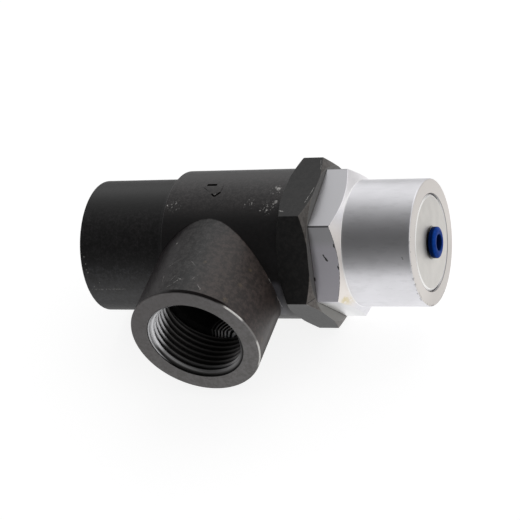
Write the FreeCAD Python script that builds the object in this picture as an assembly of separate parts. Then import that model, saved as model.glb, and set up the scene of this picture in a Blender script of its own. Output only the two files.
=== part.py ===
import FreeCAD, Part
import math
import os

# Minimum pressure valve for a small screw compressor, in millimetres.
# The main axis is X, from the inlet mouth at the origin to the cap's end.
# The outlet points along -Y, and the valve lies with a flat of its body hexagon down (-Z).

V = FreeCAD.Vector
AXIS_X = V(1, 0, 0)

# Fits and gaps, all radial or end to end
running_fit = 0.05          # piston, band, stem and release ring
thread_fit = 0.05           # screwed pieces, drawn without their threads
press_fit = 0.01            # bush and sleeve in their bores
seal_fit = 0.02             # squeezed rings against their walls
seat_gap = 0.03             # poppet face to seat, and the pieces stacked on one another
end_gap = 0.3               # ends of screwed or stacked pieces that must not bottom

# Pipe thread G 3/4 at both ports, drawn at its major diameter
port_major_diameter = 26.44
port_mouth_diameter = 26.7
port_thread_depth = 15.0
port_cone_angle = 60.0

# Valve body
spigot_diameter = 36.4
spigot_length = 26.0
body_diameter = 40.8
body_length = 68.9
body_edge_chamfer = 0.3
body_hex_across_flats = 41.0
body_hex_thickness = 8.8
body_hex_face_diameter = 41.8
body_hex_chamfer_angle = 30.0
boss_diameter = 36.0
boss_reach = 37.8           # main axis to the outlet face
outlet_axis_x = 39.7
outlet_passage_diameter = 23.8
inlet_passage_diameter = 21.0
seat_x = 27.0
seat_height = 1.6
seat_width = 1.5
seat_round = 0.5
chamber_diameter = 32.0
cap_thread_diameter = 35.0

# Spring cap
cap_shank_length = 15.0
cap_hex_across_flats = 36.0
cap_hex_length = 5.9        # along its corners, before the cone
cap_hex_cone_angle = 30.0
cap_hex_turn = 5.3          # how far it stopped turning past the body's hexagon
barrel_diameter = 34.0
overall_length = 96.0
barrel_edge_chamfer = 0.4
cap_bore_diameter = 27.5
cap_opening_diameter = 26.0
cap_lip_thickness = 3.5
cap_relief_width = 2.0
cap_relief_depth = 0.9
shank_lead_chamfer = 0.6

# Ring seals: cord diameter, and the share of it that a groove leaves
static_cord = 2.0
piston_cord = 2.4
tube_cord = 1.8
ring_squeeze = 0.77
ring_section_sides = 6      # flats that stand for a ring's round section
groove_side_room = 0.3
groove_land = 1.2
cap_seal_lead = 2.0         # shank end to the cap's groove

# End plug
plug_ring_gap = 0.2
plug_edge_chamfer = 0.5
plug_post_diameter = 18.6
pilot_hole_diameter = 2.4

# Push-in fitting for a 4 mm tube
tube_diameter = 4.0
tube_play = 0.1
tube_pocket_depth = 3.5
fitting_bore_diameter = 8.8
seal_pocket_diameter = 7.4
seal_pocket_length = 2.8
sleeve_length = 4.4
sleeve_bore_diameter = 6.0
sleeve_counterbore_diameter = 6.9
grip_thickness = 0.3
grip_cone_depth = 0.7
grip_rim_width = 1.0
grip_slot_count = 8
grip_slot_width = 0.5
release_bore_diameter = 4.3
release_neck_diameter = 5.6
release_flange_diameter = 8.4
release_flange_thickness = 1.35
release_groove_depth = 0.2
release_crown_rise = 0.35
release_gap = 0.45
release_stroke = 0.4
release_leg_wall = 0.3       # at the legs' tips
release_hook_diameter = 6.5
release_hook_length = 0.4
release_leg_slot_width = 0.6
release_leg_slot_length = 3.0
release_leg_count = 4

# Springs
main_wire = 2.2
main_mean_diameter = 21.6
main_coils = 4.3
main_end_coils = 0.9
washer_thickness = 1.0
washer_side_room = 0.25
check_wire = 0.8
check_mean_diameter = 9.0
check_coils = 5.0
check_end_coils = 0.8
spring_end_gap = 0.05
wire_section_sides = 6      # flats that stand for the round wire
coil_path_points = 8        # points of the path in each coil

# Piston
piston_front_room = 1.5     # shank end to the crown's front at rest
band_width = 3.2
band_thickness = 1.2
rear_land = 1.4
piston_post_diameter = 18.6
piston_post_length = 5.0
nose_diameter = 15.0
nose_root_cone = 1.5
check_pocket_diameter = 11.2
check_pocket_depth = 10.0
bush_wall = 1.6
stem_end_room = 1.5

# Check poppet and its rubber disc
poppet_diameter = 26.4
poppet_rim_thickness = 3.2
poppet_hub_diameter = 15.0
poppet_back_height = 4.2    # rim's back to the hub's face
stem_diameter = 6.0
stem_length = 20.5
stem_chamfer = 0.5
seat_disc_diameter = 24.6
seat_disc_thickness = 3.2
seat_disc_recess = 2.0
seat_disc_bore = 8.0
seat_washer_diameter = 17.6
seat_washer_thickness = 1.2
screw_diameter = 4.0
screw_head_diameter = 7.0
screw_head_height = 2.4
screw_length = 10.0
screw_socket_across_flats = 2.5
screw_socket_depth = 1.4

# Lift of the poppet off its seat, and of the piston off the poppet when the check closes
poppet_lift = 4.5
piston_free_lift = 4.5
lift_stop_gap = 0.1


# Stations along the main axis that follow from the sizes above
cap_seat_x = body_length
shank_end_x = cap_seat_x - cap_shank_length
cap_bore_floor_x = shank_end_x - end_gap
hex_start_x = body_length - body_hex_thickness
chamber_floor_x = seat_x - seat_height
lip_x = overall_length - cap_lip_thickness
static_squeezed = static_cord * ring_squeeze
static_groove_width = static_cord + 2 * groove_side_room
plug_flange_thickness = static_groove_width + 2 * groove_land
plug_back_x = lip_x - plug_flange_thickness
washer_front_x = plug_back_x - washer_thickness

seat_disc_face_x = seat_x + seat_gap
seat_disc_back_x = seat_disc_face_x + seat_disc_thickness
poppet_front_x = seat_disc_back_x - seat_disc_recess
poppet_rim_back_x = poppet_front_x + poppet_rim_thickness
poppet_hub_x = poppet_rim_back_x + poppet_back_height
stem_end_x = poppet_hub_x + stem_length

piston_squeezed = piston_cord * ring_squeeze
piston_groove_width = piston_cord + 2 * groove_side_room
crown_length = groove_land + band_width + groove_land + piston_groove_width + rear_land
crown_front_x = shank_end_x + piston_front_room
crown_back_x = crown_front_x + crown_length
nose_end_x = poppet_hub_x + seat_gap
pocket_floor_x = nose_end_x + check_pocket_depth
bush_end_x = stem_end_x + stem_end_room
piston_post_end_x = crown_back_x + piston_post_length
# the posts of piston and plug meet just past the full lift
plug_post_end_x = piston_post_end_x + poppet_lift + piston_free_lift + lift_stop_gap

# Stations of the push-in fitting, from the mouth inwards
tube_bore = tube_diameter + 2 * tube_play
sleeve_back_x = overall_length - sleeve_length
grip_front_x = sleeve_back_x - seat_gap
grip_back_x = grip_front_x - grip_thickness
fitting_step_x = grip_back_x - seat_gap
seal_floor_x = fitting_step_x - seal_pocket_length
tube_stop_x = seal_floor_x - tube_pocket_depth
grip_rim_diameter = fitting_bore_diameter - 2 * press_fit - 2 * grip_rim_width
leg_tip_diameter = release_bore_diameter + 2 * release_leg_wall
# the legs' tips reach the leaning teeth at the end of the stroke
tooth_lean = (grip_rim_diameter - leg_tip_diameter) / (grip_rim_diameter - tube_bore)
leg_tip_x = grip_front_x - grip_cone_depth * tooth_lean + running_fit + release_stroke
hook_front_x = leg_tip_x + (release_hook_diameter - leg_tip_diameter) / 2 + release_hook_length


def turned(outline):
    """Solid turned about X, from a closed outline of (x, radius) points or of edges."""
    if isinstance(outline[0], tuple):
        points = [V(x, r, 0) for x, r in outline]
        wire = Part.makePolygon(points + [points[0]])
    else:
        wire = Part.Wire(outline)
    return Part.Face(wire).revolve(V(0, 0, 0), AXIS_X, 360)


def rod(x0, x1, diameter, bore=0.0):
    """Round bar or tube along X."""
    bar = Part.makeCylinder(diameter / 2, x1 - x0, V(x0, 0, 0), AXIS_X)
    if bore:
        hole = Part.makeCylinder(bore / 2, x1 - x0 + 2, V(x0 - 1, 0, 0), AXIS_X)
        bar = bar.cut(hole)
    return bar


def hexagon(x0, x1, across_flats, turn=0.0):
    """Six-sided bar along X, with flats up and down when turn is 0."""
    corner = across_flats / 2 / math.cos(math.radians(30))
    points = []
    for k in range(7):
        angle = math.radians(30 + 60 * k + turn)
        points.append(V(x0, -corner * math.sin(angle), corner * math.cos(angle)))
    face = Part.Face(Part.makePolygon(points))
    return face.extrude(V(x1 - x0, 0, 0))


def squeezed_ring(x_mid, inner_diameter, outer_diameter, cord):
    """Ring seal pressed flat inside and outside, with rounded sides."""
    r_in = inner_diameter / 2 + seal_fit
    r_out = outer_diameter / 2 - seal_fit
    half = (r_out - r_in) / 2
    r_mid = (r_out + r_in) / 2
    # the cord keeps its section area, so what it loses in height it gains in width
    area = math.pi * cord ** 2 / 4
    flat = (area - math.pi * half ** 2) / (2 * half)
    sides = ring_section_sides // 2
    outline = []
    for side in (1, -1):
        for k in range(sides + 1):
            angle = math.pi * k / sides
            x = x_mid + side * (flat / 2 + half * math.sin(angle))
            outline.append((x, r_mid + side * half * math.cos(angle)))
    return turned(outline)


def groove(x_mid, width, bottom_diameter, outer_diameter):
    """Ring of space to cut from a turned piece."""
    return rod(x_mid - width / 2, x_mid + width / 2, outer_diameter + 2, bottom_diameter)


def coil_spring(x0, x1, wire, mean_diameter, coils, end_coils):
    """Compression spring along X, wound close at both ends."""
    radius = mean_diameter / 2
    low = x0 + wire / 2 + spring_end_gap
    high = x1 - wire / 2 - spring_end_gap
    end_rise = end_coils * wire * 1.04
    open_rise = high - low - 2 * end_rise
    open_coils = coils - 2 * end_coils
    steps = round(coils * coil_path_points)
    points = []
    for k in range(steps + 1):
        turn = coils * k / steps
        near_end = min(turn, end_coils) + max(0, turn - coils + end_coils)
        in_open = min(max(0, turn - end_coils), open_coils)
        x = low + end_rise * near_end / end_coils + open_rise * in_open / open_coils
        angle = 2 * math.pi * turn
        points.append(V(x, radius * math.cos(angle), radius * math.sin(angle)))
    line = Part.BSplineCurve()
    line.interpolate(points)
    path = Part.Wire(line.toShape())
    heading = line.tangent(line.FirstParameter)[0]
    outward = V(0, 1, 0)
    sideways = heading.cross(outward)
    corners = []
    for k in range(wire_section_sides):
        angle = 2 * math.pi * (k + 0.5) / wire_section_sides
        corner = outward * math.cos(angle) + sideways * math.sin(angle)
        corners.append(points[0] + corner * (wire / 2))
    section = Part.makePolygon(corners + [corners[0]])
    return path.makePipeShell([section], True, True)


def port_bore(passage_diameter, length):
    """Space of a port along X from its mouth at x = 0: mouth cone, thread and passage."""
    mouth = port_mouth_diameter / 2
    major = port_major_diameter / 2
    passage = passage_diameter / 2
    cone = (major - passage) / math.tan(math.radians(port_cone_angle))
    return turned([
        (-1, 0), (-1, mouth), (0, mouth), (mouth - major, major),
        (port_thread_depth, major), (port_thread_depth + cone, passage),
        (length, passage), (length, 0),
    ])


def make_valve_body():
    """One-piece body: inlet spigot, body, hexagon and outlet boss, with all its bores."""
    spigot = spigot_diameter / 2
    body = body_diameter / 2
    edge = body_edge_chamfer
    barrel = turned([
        (0, 0), (0, spigot - edge), (edge, spigot), (spigot_length, spigot),
        (spigot_length, body - edge), (spigot_length + edge, body),
        (hex_start_x + 1, body), (hex_start_x + 1, 0),
    ])
    corner = body_hex_across_flats / 2 / math.cos(math.radians(30)) + 1
    face = body_hex_face_diameter / 2
    slope = (corner - face) * math.tan(math.radians(body_hex_chamfer_angle))
    envelope = turned([
        (hex_start_x, 0), (hex_start_x, face), (hex_start_x + slope, corner),
        (body_length - slope, corner), (body_length, face), (body_length, 0),
    ])
    nut = hexagon(hex_start_x, body_length, body_hex_across_flats).common(envelope)

    boss = turned([
        (0, 0), (0, boss_diameter / 2 - edge), (edge, boss_diameter / 2),
        (boss_reach, boss_diameter / 2), (boss_reach, 0),
    ])
    boss.rotate(V(0, 0, 0), V(0, 0, 1), 90)
    boss.translate(V(outlet_axis_x, -boss_reach, 0))
    solid = barrel.fuse(nut).fuse(boss)

    seat_in = inlet_passage_diameter / 2
    seat_out = seat_in + seat_width
    inlet = port_bore(inlet_passage_diameter, seat_x + 1)
    crest = turned([
        (chamber_floor_x - 1, 0), (chamber_floor_x - 1, seat_out), (seat_x - seat_round, seat_out),
        (seat_x, seat_out - seat_round), (seat_x, 0),
    ])
    chamber = rod(chamber_floor_x, cap_bore_floor_x + 1, chamber_diameter).cut(crest)
    cap_bore = rod(cap_bore_floor_x, body_length + 1, cap_thread_diameter)
    outlet = port_bore(outlet_passage_diameter, boss_reach - inlet_passage_diameter / 2)
    outlet.rotate(V(0, 0, 0), V(0, 0, 1), 90)
    outlet.translate(V(outlet_axis_x, -boss_reach, 0))
    for space in (inlet, chamber, cap_bore, outlet):
        solid = solid.cut(space)
    return solid.removeSplitter()


def make_spring_cap():
    """Cap with its screwed shank, hexagon, barrel and the bore for piston and spring."""
    shank = cap_thread_diameter / 2 - thread_fit
    relief = shank - cap_relief_depth
    barrel = barrel_diameter / 2
    corner = cap_hex_across_flats / 2 / math.cos(math.radians(30))
    cone_start_x = cap_seat_x + cap_hex_length
    cone = math.tan(math.radians(cap_hex_cone_angle))
    hex_end_x = cone_start_x + (corner - barrel) * cone
    envelope = turned([
        (cap_seat_x, 0), (cap_seat_x, corner + 1), (cone_start_x - cone, corner + 1),
        (hex_end_x, barrel), (hex_end_x, 0),
    ])
    nut = hexagon(cap_seat_x, hex_end_x, cap_hex_across_flats, cap_hex_turn).common(envelope)
    edge = barrel_edge_chamfer
    core = turned([
        (shank_end_x, 0), (shank_end_x, shank - shank_lead_chamfer),
        (shank_end_x + shank_lead_chamfer, shank),
        (cap_seat_x - cap_relief_width, shank), (cap_seat_x - cap_relief_width, relief),
        (cap_seat_x, relief), (cap_seat_x, barrel),
        (overall_length - edge, barrel), (overall_length, barrel - edge), (overall_length, 0),
    ])
    solid = core.fuse(nut)
    groove_mid = shank_end_x + cap_seal_lead + static_groove_width / 2
    groove_bottom = cap_thread_diameter - 2 * static_squeezed
    solid = solid.cut(groove(groove_mid, static_groove_width, groove_bottom, cap_thread_diameter))
    solid = solid.cut(rod(shank_end_x - 1, lip_x, cap_bore_diameter))
    solid = solid.cut(rod(lip_x - 1, overall_length + 1, cap_opening_diameter))
    return solid.removeSplitter()


def make_cap_seal_ring():
    x_mid = shank_end_x + cap_seal_lead + static_groove_width / 2
    bottom = cap_thread_diameter - 2 * static_squeezed
    return squeezed_ring(x_mid, bottom, cap_thread_diameter, static_cord)


def make_end_plug():
    """Plug that the spring holds against the cap's lip, bored for the push-in fitting."""
    flange = cap_bore_diameter / 2 - running_fit
    nose = cap_opening_diameter / 2 - plug_ring_gap
    edge = plug_edge_chamfer
    flange_front_x = lip_x - seat_gap
    solid = turned([
        (plug_post_end_x, 0), (plug_post_end_x, plug_post_diameter / 2 - edge),
        (plug_post_end_x + edge, plug_post_diameter / 2), (plug_back_x, plug_post_diameter / 2),
        (plug_back_x, flange), (flange_front_x, flange), (flange_front_x, nose),
        (overall_length - edge, nose), (overall_length, nose - edge), (overall_length, 0),
    ])
    groove_mid = plug_back_x + plug_flange_thickness / 2
    groove_bottom = cap_bore_diameter - 2 * static_squeezed
    solid = solid.cut(groove(groove_mid, static_groove_width, groove_bottom, cap_bore_diameter))
    solid = solid.cut(rod(fitting_step_x, overall_length + 1, fitting_bore_diameter))
    solid = solid.cut(rod(seal_floor_x, overall_length, seal_pocket_diameter))
    solid = solid.cut(rod(tube_stop_x, overall_length, tube_bore))
    solid = solid.cut(rod(plug_post_end_x - 1, overall_length, pilot_hole_diameter))
    return solid.removeSplitter()


def make_plug_seal_ring():
    x_mid = plug_back_x + plug_flange_thickness / 2
    bottom = cap_bore_diameter - 2 * static_squeezed
    return squeezed_ring(x_mid, bottom, cap_bore_diameter, static_cord)


def make_fitting_sleeve():
    """Sleeve pressed in flush, with an inner step that keeps the release ring's hooks in."""
    outer = fitting_bore_diameter / 2 - press_fit
    inner = sleeve_bore_diameter / 2
    wide = sleeve_counterbore_diameter / 2
    step_x = hook_front_x + seat_gap
    return turned([
        (sleeve_back_x, wide), (sleeve_back_x, outer), (overall_length, outer),
        (overall_length, inner), (step_x, inner), (step_x, wide),
    ])


def make_grip_ring():
    """Thin toothed ring, its teeth leaning inwards along the tube."""
    outer = fitting_bore_diameter / 2 - press_fit
    rim = grip_rim_diameter / 2
    tip = tube_bore / 2
    solid = turned([
        (grip_front_x, outer), (grip_front_x, rim), (grip_front_x - grip_cone_depth, tip),
        (grip_back_x - grip_cone_depth, tip), (grip_back_x, rim), (grip_back_x, outer),
    ])
    for k in range(grip_slot_count):
        slot = Part.makeBox(
            grip_thickness + grip_cone_depth + 2, grip_slot_width, rim,
            V(grip_back_x - grip_cone_depth - 1, -grip_slot_width / 2, 0),
        )
        slot.rotate(V(0, 0, 0), AXIS_X, 360 * k / grip_slot_count)
        solid = solid.cut(slot)
    return solid


def make_tube_seal_ring():
    """Ring drawn as it stands round a tube, between its pocket's floor and the grip ring's teeth."""
    x_mid = (seal_floor_x + grip_back_x - grip_cone_depth) / 2
    inner = tube_bore - 2 * seal_fit
    return squeezed_ring(x_mid, inner, seal_pocket_diameter, tube_cord)


def make_release_ring():
    """Collet with hooked split legs, a grooved flange and a domed face round the tube's mouth."""
    bore = release_bore_diameter / 2
    neck = release_neck_diameter / 2
    flange = release_flange_diameter / 2
    hook = release_hook_diameter / 2
    tip = leg_tip_diameter / 2
    back_x = overall_length + release_gap
    front_x = back_x + release_flange_thickness
    middle_x = (back_x + front_x) / 2
    crown_x = front_x + release_crown_rise
    dip = release_groove_depth
    outline = [
        (leg_tip_x, bore), (leg_tip_x, tip), (leg_tip_x + hook - tip, hook),
        (hook_front_x, hook), (hook_front_x, neck), (back_x, neck), (back_x, flange - dip),
        (back_x + dip, flange), (middle_x - dip / 2, flange), (middle_x, flange - dip),
        (middle_x + dip / 2, flange), (front_x - dip, flange), (front_x, flange - dip),
    ]
    points = [V(x, r, 0) for x, r in outline]
    edges = [Part.LineSegment(a, b).toShape() for a, b in zip(points, points[1:])]
    dome = V(front_x + 0.8 * release_crown_rise, (flange - dip + bore) / 2, 0)
    mouth = V(crown_x, bore, 0)
    edges.append(Part.Arc(points[-1], dome, mouth).toShape())
    edges.append(Part.LineSegment(mouth, points[0]).toShape())
    solid = turned(edges)
    for k in range(release_leg_count // 2):
        slot = Part.makeBox(
            release_leg_slot_length + 1, release_leg_slot_width, release_flange_diameter,
            V(leg_tip_x - 1, -release_leg_slot_width / 2, -release_flange_diameter / 2),
        )
        slot.rotate(V(0, 0, 0), AXIS_X, 45 + 360 * k / release_leg_count)
        solid = solid.cut(slot)
    return solid


def make_main_spring():
    return coil_spring(crown_back_x, washer_front_x - seat_gap, main_wire, main_mean_diameter,
                       main_coils, main_end_coils)


def make_spring_washer():
    outer = cap_bore_diameter - 2 * washer_side_room
    inner = plug_post_diameter + 2 * washer_side_room
    return rod(washer_front_x - seat_gap, plug_back_x - seat_gap, outer, inner)


def make_piston():
    """Crown with band and ring grooves, a nose over the poppet's stem and a lift stop."""
    crown = cap_bore_diameter / 2 - running_fit
    nose = nose_diameter / 2
    post = piston_post_diameter / 2
    solid = turned([
        (nose_end_x, 0), (nose_end_x, nose - 0.4), (nose_end_x + 0.4, nose),
        (crown_front_x - nose_root_cone, nose), (crown_front_x, nose + nose_root_cone),
        (crown_front_x, crown - 0.5), (crown_front_x + 0.5, crown), (crown_back_x - 0.3, crown),
        (crown_back_x, crown - 0.3), (crown_back_x, post), (piston_post_end_x - 0.5, post),
        (piston_post_end_x, post - 0.5), (piston_post_end_x, 0),
    ])

    band_mid = crown_front_x + groove_land + band_width / 2
    band_bottom = cap_bore_diameter - 2 * band_thickness
    ring_mid = band_mid + band_width / 2 + groove_land + piston_groove_width / 2
    ring_bottom = cap_bore_diameter - 2 * piston_squeezed
    solid = solid.cut(groove(band_mid, band_width, band_bottom, cap_bore_diameter))
    solid = solid.cut(groove(ring_mid, piston_groove_width, ring_bottom, cap_bore_diameter))
    bush_bore = stem_diameter + 2 * bush_wall
    solid = solid.cut(rod(nose_end_x - 1, pocket_floor_x, check_pocket_diameter))
    solid = solid.cut(rod(nose_end_x - 1, bush_end_x, bush_bore))
    return solid.removeSplitter()


def make_piston_guide_band():
    """Split band that keeps the crown off the bore, with its joint at the top."""
    band_mid = crown_front_x + groove_land + band_width / 2
    outer = cap_bore_diameter - 2 * seal_fit
    inner = cap_bore_diameter - 2 * band_thickness + 2 * seal_fit
    half = band_width / 2 - seal_fit
    solid = rod(band_mid - half, band_mid + half, outer, inner)
    split = Part.makeBox(band_width, 0.6, cap_bore_diameter, V(band_mid - band_width / 2, -0.3, 0))
    split.rotate(V(band_mid, 0, cap_bore_diameter / 2 - band_thickness / 2), V(0, 0, 1), 30)
    return solid.cut(split)


def make_piston_seal_ring():
    band_mid = crown_front_x + groove_land + band_width / 2
    ring_mid = band_mid + band_width / 2 + groove_land + piston_groove_width / 2
    bottom = cap_bore_diameter - 2 * piston_squeezed
    return squeezed_ring(ring_mid, bottom, cap_bore_diameter, piston_cord)


def make_stem_bush():
    outer = stem_diameter + 2 * bush_wall - 2 * press_fit
    inner = stem_diameter + 2 * running_fit
    return rod(pocket_floor_x, bush_end_x - end_gap, outer, inner)


def make_check_poppet():
    """Disc, coned back, hub and stem, with a recess for the rubber and a tapped hole."""
    rim = poppet_diameter / 2
    hub = poppet_hub_diameter / 2
    stem = stem_diameter / 2
    boss = seat_disc_bore / 2 - seal_fit
    recess = seat_disc_diameter / 2 + seal_fit
    back = seat_disc_back_x
    solid = turned([
        (seat_disc_face_x, 0), (seat_disc_face_x, boss), (back, boss), (back, recess),
        (poppet_front_x, recess), (poppet_front_x, rim - 0.3), (poppet_front_x + 0.3, rim),
        (poppet_rim_back_x, rim), (poppet_hub_x - 1, hub), (poppet_hub_x, hub),
        (poppet_hub_x, stem), (stem_end_x - stem_chamfer, stem),
        (stem_end_x, stem - stem_chamfer), (stem_end_x, 0),
    ])
    hole_end_x = seat_disc_face_x - seat_washer_thickness + screw_length + end_gap
    return solid.cut(rod(seat_disc_face_x - 1, hole_end_x, screw_diameter + 2 * thread_fit))


def make_poppet_seat_disc():
    return rod(seat_disc_face_x, seat_disc_back_x - seal_fit, seat_disc_diameter, seat_disc_bore)


def make_seat_disc_washer():
    front_x = seat_disc_face_x - seat_gap - seat_washer_thickness
    edge = 0.25
    outer = seat_washer_diameter / 2
    inner = screw_diameter / 2 + 2 * thread_fit
    return turned([
        (front_x, inner), (front_x, outer - edge), (front_x + edge, outer),
        (seat_disc_face_x - seat_gap, outer), (seat_disc_face_x - seat_gap, inner),
    ])


def make_seat_disc_screw():
    """Socket head screw, drawn without its thread."""
    under_x = seat_disc_face_x - 2 * seat_gap - seat_washer_thickness
    head_x = under_x - screw_head_height
    head = screw_head_diameter / 2
    shank = screw_diameter / 2
    end_x = under_x + screw_length
    solid = turned([
        (head_x, 0), (head_x, head - 0.3), (head_x + 0.3, head), (under_x, head),
        (under_x, shank), (end_x - 0.4, shank), (end_x, shank - 0.4), (end_x, 0),
    ])
    socket = hexagon(head_x - 1, head_x + screw_socket_depth, screw_socket_across_flats)
    return solid.cut(socket)


def make_check_spring():
    return coil_spring(poppet_hub_x, pocket_floor_x, check_wire, check_mean_diameter,
                       check_coils, check_end_coils)


nodes = {
    "valve_body": make_valve_body,
    "spring_cap": make_spring_cap,
    "cap_seal_ring": make_cap_seal_ring,
    "end_plug": make_end_plug,
    "plug_seal_ring": make_plug_seal_ring,
    "fitting_sleeve": make_fitting_sleeve,
    "grip_ring": make_grip_ring,
    "tube_seal_ring": make_tube_seal_ring,
    "release_ring": make_release_ring,
    "main_spring": make_main_spring,
    "spring_washer": make_spring_washer,
    "piston": make_piston,
    "piston_guide_band": make_piston_guide_band,
    "piston_seal_ring": make_piston_seal_ring,
    "stem_bush": make_stem_bush,
    "check_poppet": make_check_poppet,
    "poppet_seat_disc": make_poppet_seat_disc,
    "seat_disc_washer": make_seat_disc_washer,
    "seat_disc_screw": make_seat_disc_screw,
    "check_spring": make_check_spring,
}

os.makedirs("parts", exist_ok=True)
for name, make in nodes.items():
    shape = make()
    if not shape.isValid() or not shape.Solids:
        raise ValueError(name + " did not come out as a valid solid")
    if shape.ShapeType != "Solid" and len(shape.Solids) == 1:
        shape = shape.Solids[0]
    shape.exportStep("parts/" + name + ".step")
    print(name, len(shape.Solids), "solid,", round(shape.Volume, 1), "mm3")
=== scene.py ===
import math

import bmesh
import bpy
from bpy.props import FloatProperty, FloatVectorProperty, PointerProperty
from mathutils import Matrix, Vector


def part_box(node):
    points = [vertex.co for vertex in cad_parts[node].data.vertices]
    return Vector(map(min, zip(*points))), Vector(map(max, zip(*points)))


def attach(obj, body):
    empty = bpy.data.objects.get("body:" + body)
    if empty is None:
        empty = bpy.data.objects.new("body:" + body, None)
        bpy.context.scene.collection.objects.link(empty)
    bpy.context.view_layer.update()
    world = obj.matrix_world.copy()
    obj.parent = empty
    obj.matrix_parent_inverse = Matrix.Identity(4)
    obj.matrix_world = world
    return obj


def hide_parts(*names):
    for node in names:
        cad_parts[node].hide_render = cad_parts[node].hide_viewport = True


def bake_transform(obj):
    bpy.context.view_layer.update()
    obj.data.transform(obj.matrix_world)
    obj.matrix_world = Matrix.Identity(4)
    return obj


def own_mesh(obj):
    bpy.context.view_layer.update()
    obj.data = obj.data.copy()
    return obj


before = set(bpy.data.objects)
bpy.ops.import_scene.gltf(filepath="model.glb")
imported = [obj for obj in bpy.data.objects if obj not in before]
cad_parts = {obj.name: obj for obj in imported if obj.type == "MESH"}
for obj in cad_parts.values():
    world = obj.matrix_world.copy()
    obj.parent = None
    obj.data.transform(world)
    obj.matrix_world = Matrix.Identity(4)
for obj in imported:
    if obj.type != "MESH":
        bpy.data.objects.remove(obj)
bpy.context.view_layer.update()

bl_info = {
    "name": "Minimum Pressure Valve",
    "version": (1, 0, 0),
    "blender": (4, 5, 0),
    "location": "View3D > Sidebar > Valve",
    "description": "Builds the visible shells, threads, springs and finishes of an inline valve",
    "category": "Mesh",
}

# Lengths are in metres, and angles round the main axis run from +Z towards -Y
MM = 0.001
TURN = 2 * math.pi
THIRTY = math.radians(30)


def length(name, millimetres, description):
    """A size in the sidebar, given here in millimetres."""
    return FloatProperty(name=name, description=description, default=millimetres * MM,
                         min=0.0, precision=5, unit="LENGTH")


def angle(name, degrees, description):
    """An angle in the sidebar, given here in degrees."""
    return FloatProperty(name=name, description=description, default=math.radians(degrees),
                         unit="ROTATION", subtype="ANGLE")


def colour(name, red, green, blue, description):
    """A colour in the sidebar."""
    return FloatVectorProperty(name=name, description=description, default=(red, green, blue),
                               min=0.0, max=1.0, size=3, subtype="COLOR")


class ValveBodySizes(bpy.types.PropertyGroup):
    """Sizes of the black body, its hexagon, boss and bores."""
    spigot_diameter: length("Spigot", 36.4, "Outside diameter of the inlet spigot")
    spigot_length: length("Spigot length", 26.0, "Inlet mouth to the body's shoulder")
    body_diameter: length("Body", 40.8, "Outside diameter of the body")
    body_length: length("Body length", 68.9, "Inlet mouth to the hexagon's far face")
    hex_across_flats: length("Hexagon", 41.0, "Body hexagon across its flats")
    hex_thickness: length("Hexagon thickness", 8.8, "Body hexagon along the main axis")
    hex_face_diameter: length("Hexagon face", 41.8, "Round face that the hexagon's chamfers leave")
    boss_diameter: length("Boss", 36.0, "Outside diameter of the outlet boss")
    boss_reach: length("Boss reach", 37.8, "Main axis to the outlet face")
    outlet_x: length("Outlet place", 39.7, "Inlet mouth to the outlet's axis")
    outlet_passage: length("Outlet passage", 23.8, "Bore behind the outlet thread")
    inlet_passage: length("Inlet passage", 21.0, "Bore behind the inlet thread")
    seat_x: length("Seat place", 27.0, "Inlet mouth to the seat")
    seat_height: length("Seat height", 1.6, "Seat above the chamber's floor")
    seat_width: length("Seat width", 1.5, "Ring of metal round the seat")
    chamber: length("Chamber", 32.0, "Bore of the chamber")
    cap_bore: length("Cap bore", 35.0, "Bore that the cap is screwed into")
    cap_bore_depth: length("Cap bore depth", 15.3, "Depth of the bore for the cap")
    edge: length("Edge round", 0.35, "Rounding of the turned edges")


class ValvePortSizes(bpy.types.PropertyGroup):
    """Sizes of the pipe thread in both ports."""
    mouth_diameter: length("Mouth", 26.7, "Diameter at the very mouth")
    major_diameter: length("Major", 26.44, "Thread diameter at the roots")
    pitch: length("Pitch", 1.814, "Axial distance from crest to crest")
    ridge_height: length("Ridge height", 1.162, "Height of the thread's ridges")
    crest_radius: length("Crest radius", 0.249, "Rounding of crests and roots")
    thread_depth: length("Thread depth", 15.0, "Mouth to the end of the thread")
    cone_angle: angle("Cone", 60.0, "Cone behind the thread")
    thread_start: angle("Thread start", 84.0, "Start of the thread, from the top towards the cap")


class ValveCapSizes(bpy.types.PropertyGroup):
    """Sizes of the silver cap and of the plug in its end."""
    hex_across_flats: length("Hexagon", 36.0, "Cap hexagon across its flats")
    hex_length: length("Hexagon length", 5.9, "Cap hexagon along its corners, before the cone")
    hex_turn: angle("Hexagon turn", 5.3, "How far the cap stopped past the body's hexagon")
    barrel_diameter: length("Barrel", 34.0, "Outside diameter of the barrel")
    overall_length: length("Cap end", 96.0, "Inlet mouth to the cap's end")
    barrel_edge: length("Barrel edge", 0.4, "Rounding of the barrel's edge")
    bore: length("Bore", 27.5, "Bore for piston and spring")
    opening: length("Opening", 26.0, "Opening in the cap's end")
    lip: length("Lip", 3.5, "Thickness of the lip that holds the plug")
    plug_gap: length("Plug gap", 0.2, "Gap round the plug's nose")
    plug_edge: length("Plug edge", 0.5, "Bevel of the plug's edge")
    fitting_bore: length("Fitting bore", 8.8, "Bore for the push-in fitting")
    release_diameter: length("Release ring", 8.4, "Flange of the release ring")
    release_bore: length("Release bore", 4.3, "Bore of the release ring")
    release_gap: length("Release gap", 0.45, "Plug face to the flange")
    release_thickness: length("Release thickness", 1.35, "Thickness of the flange")


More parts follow.
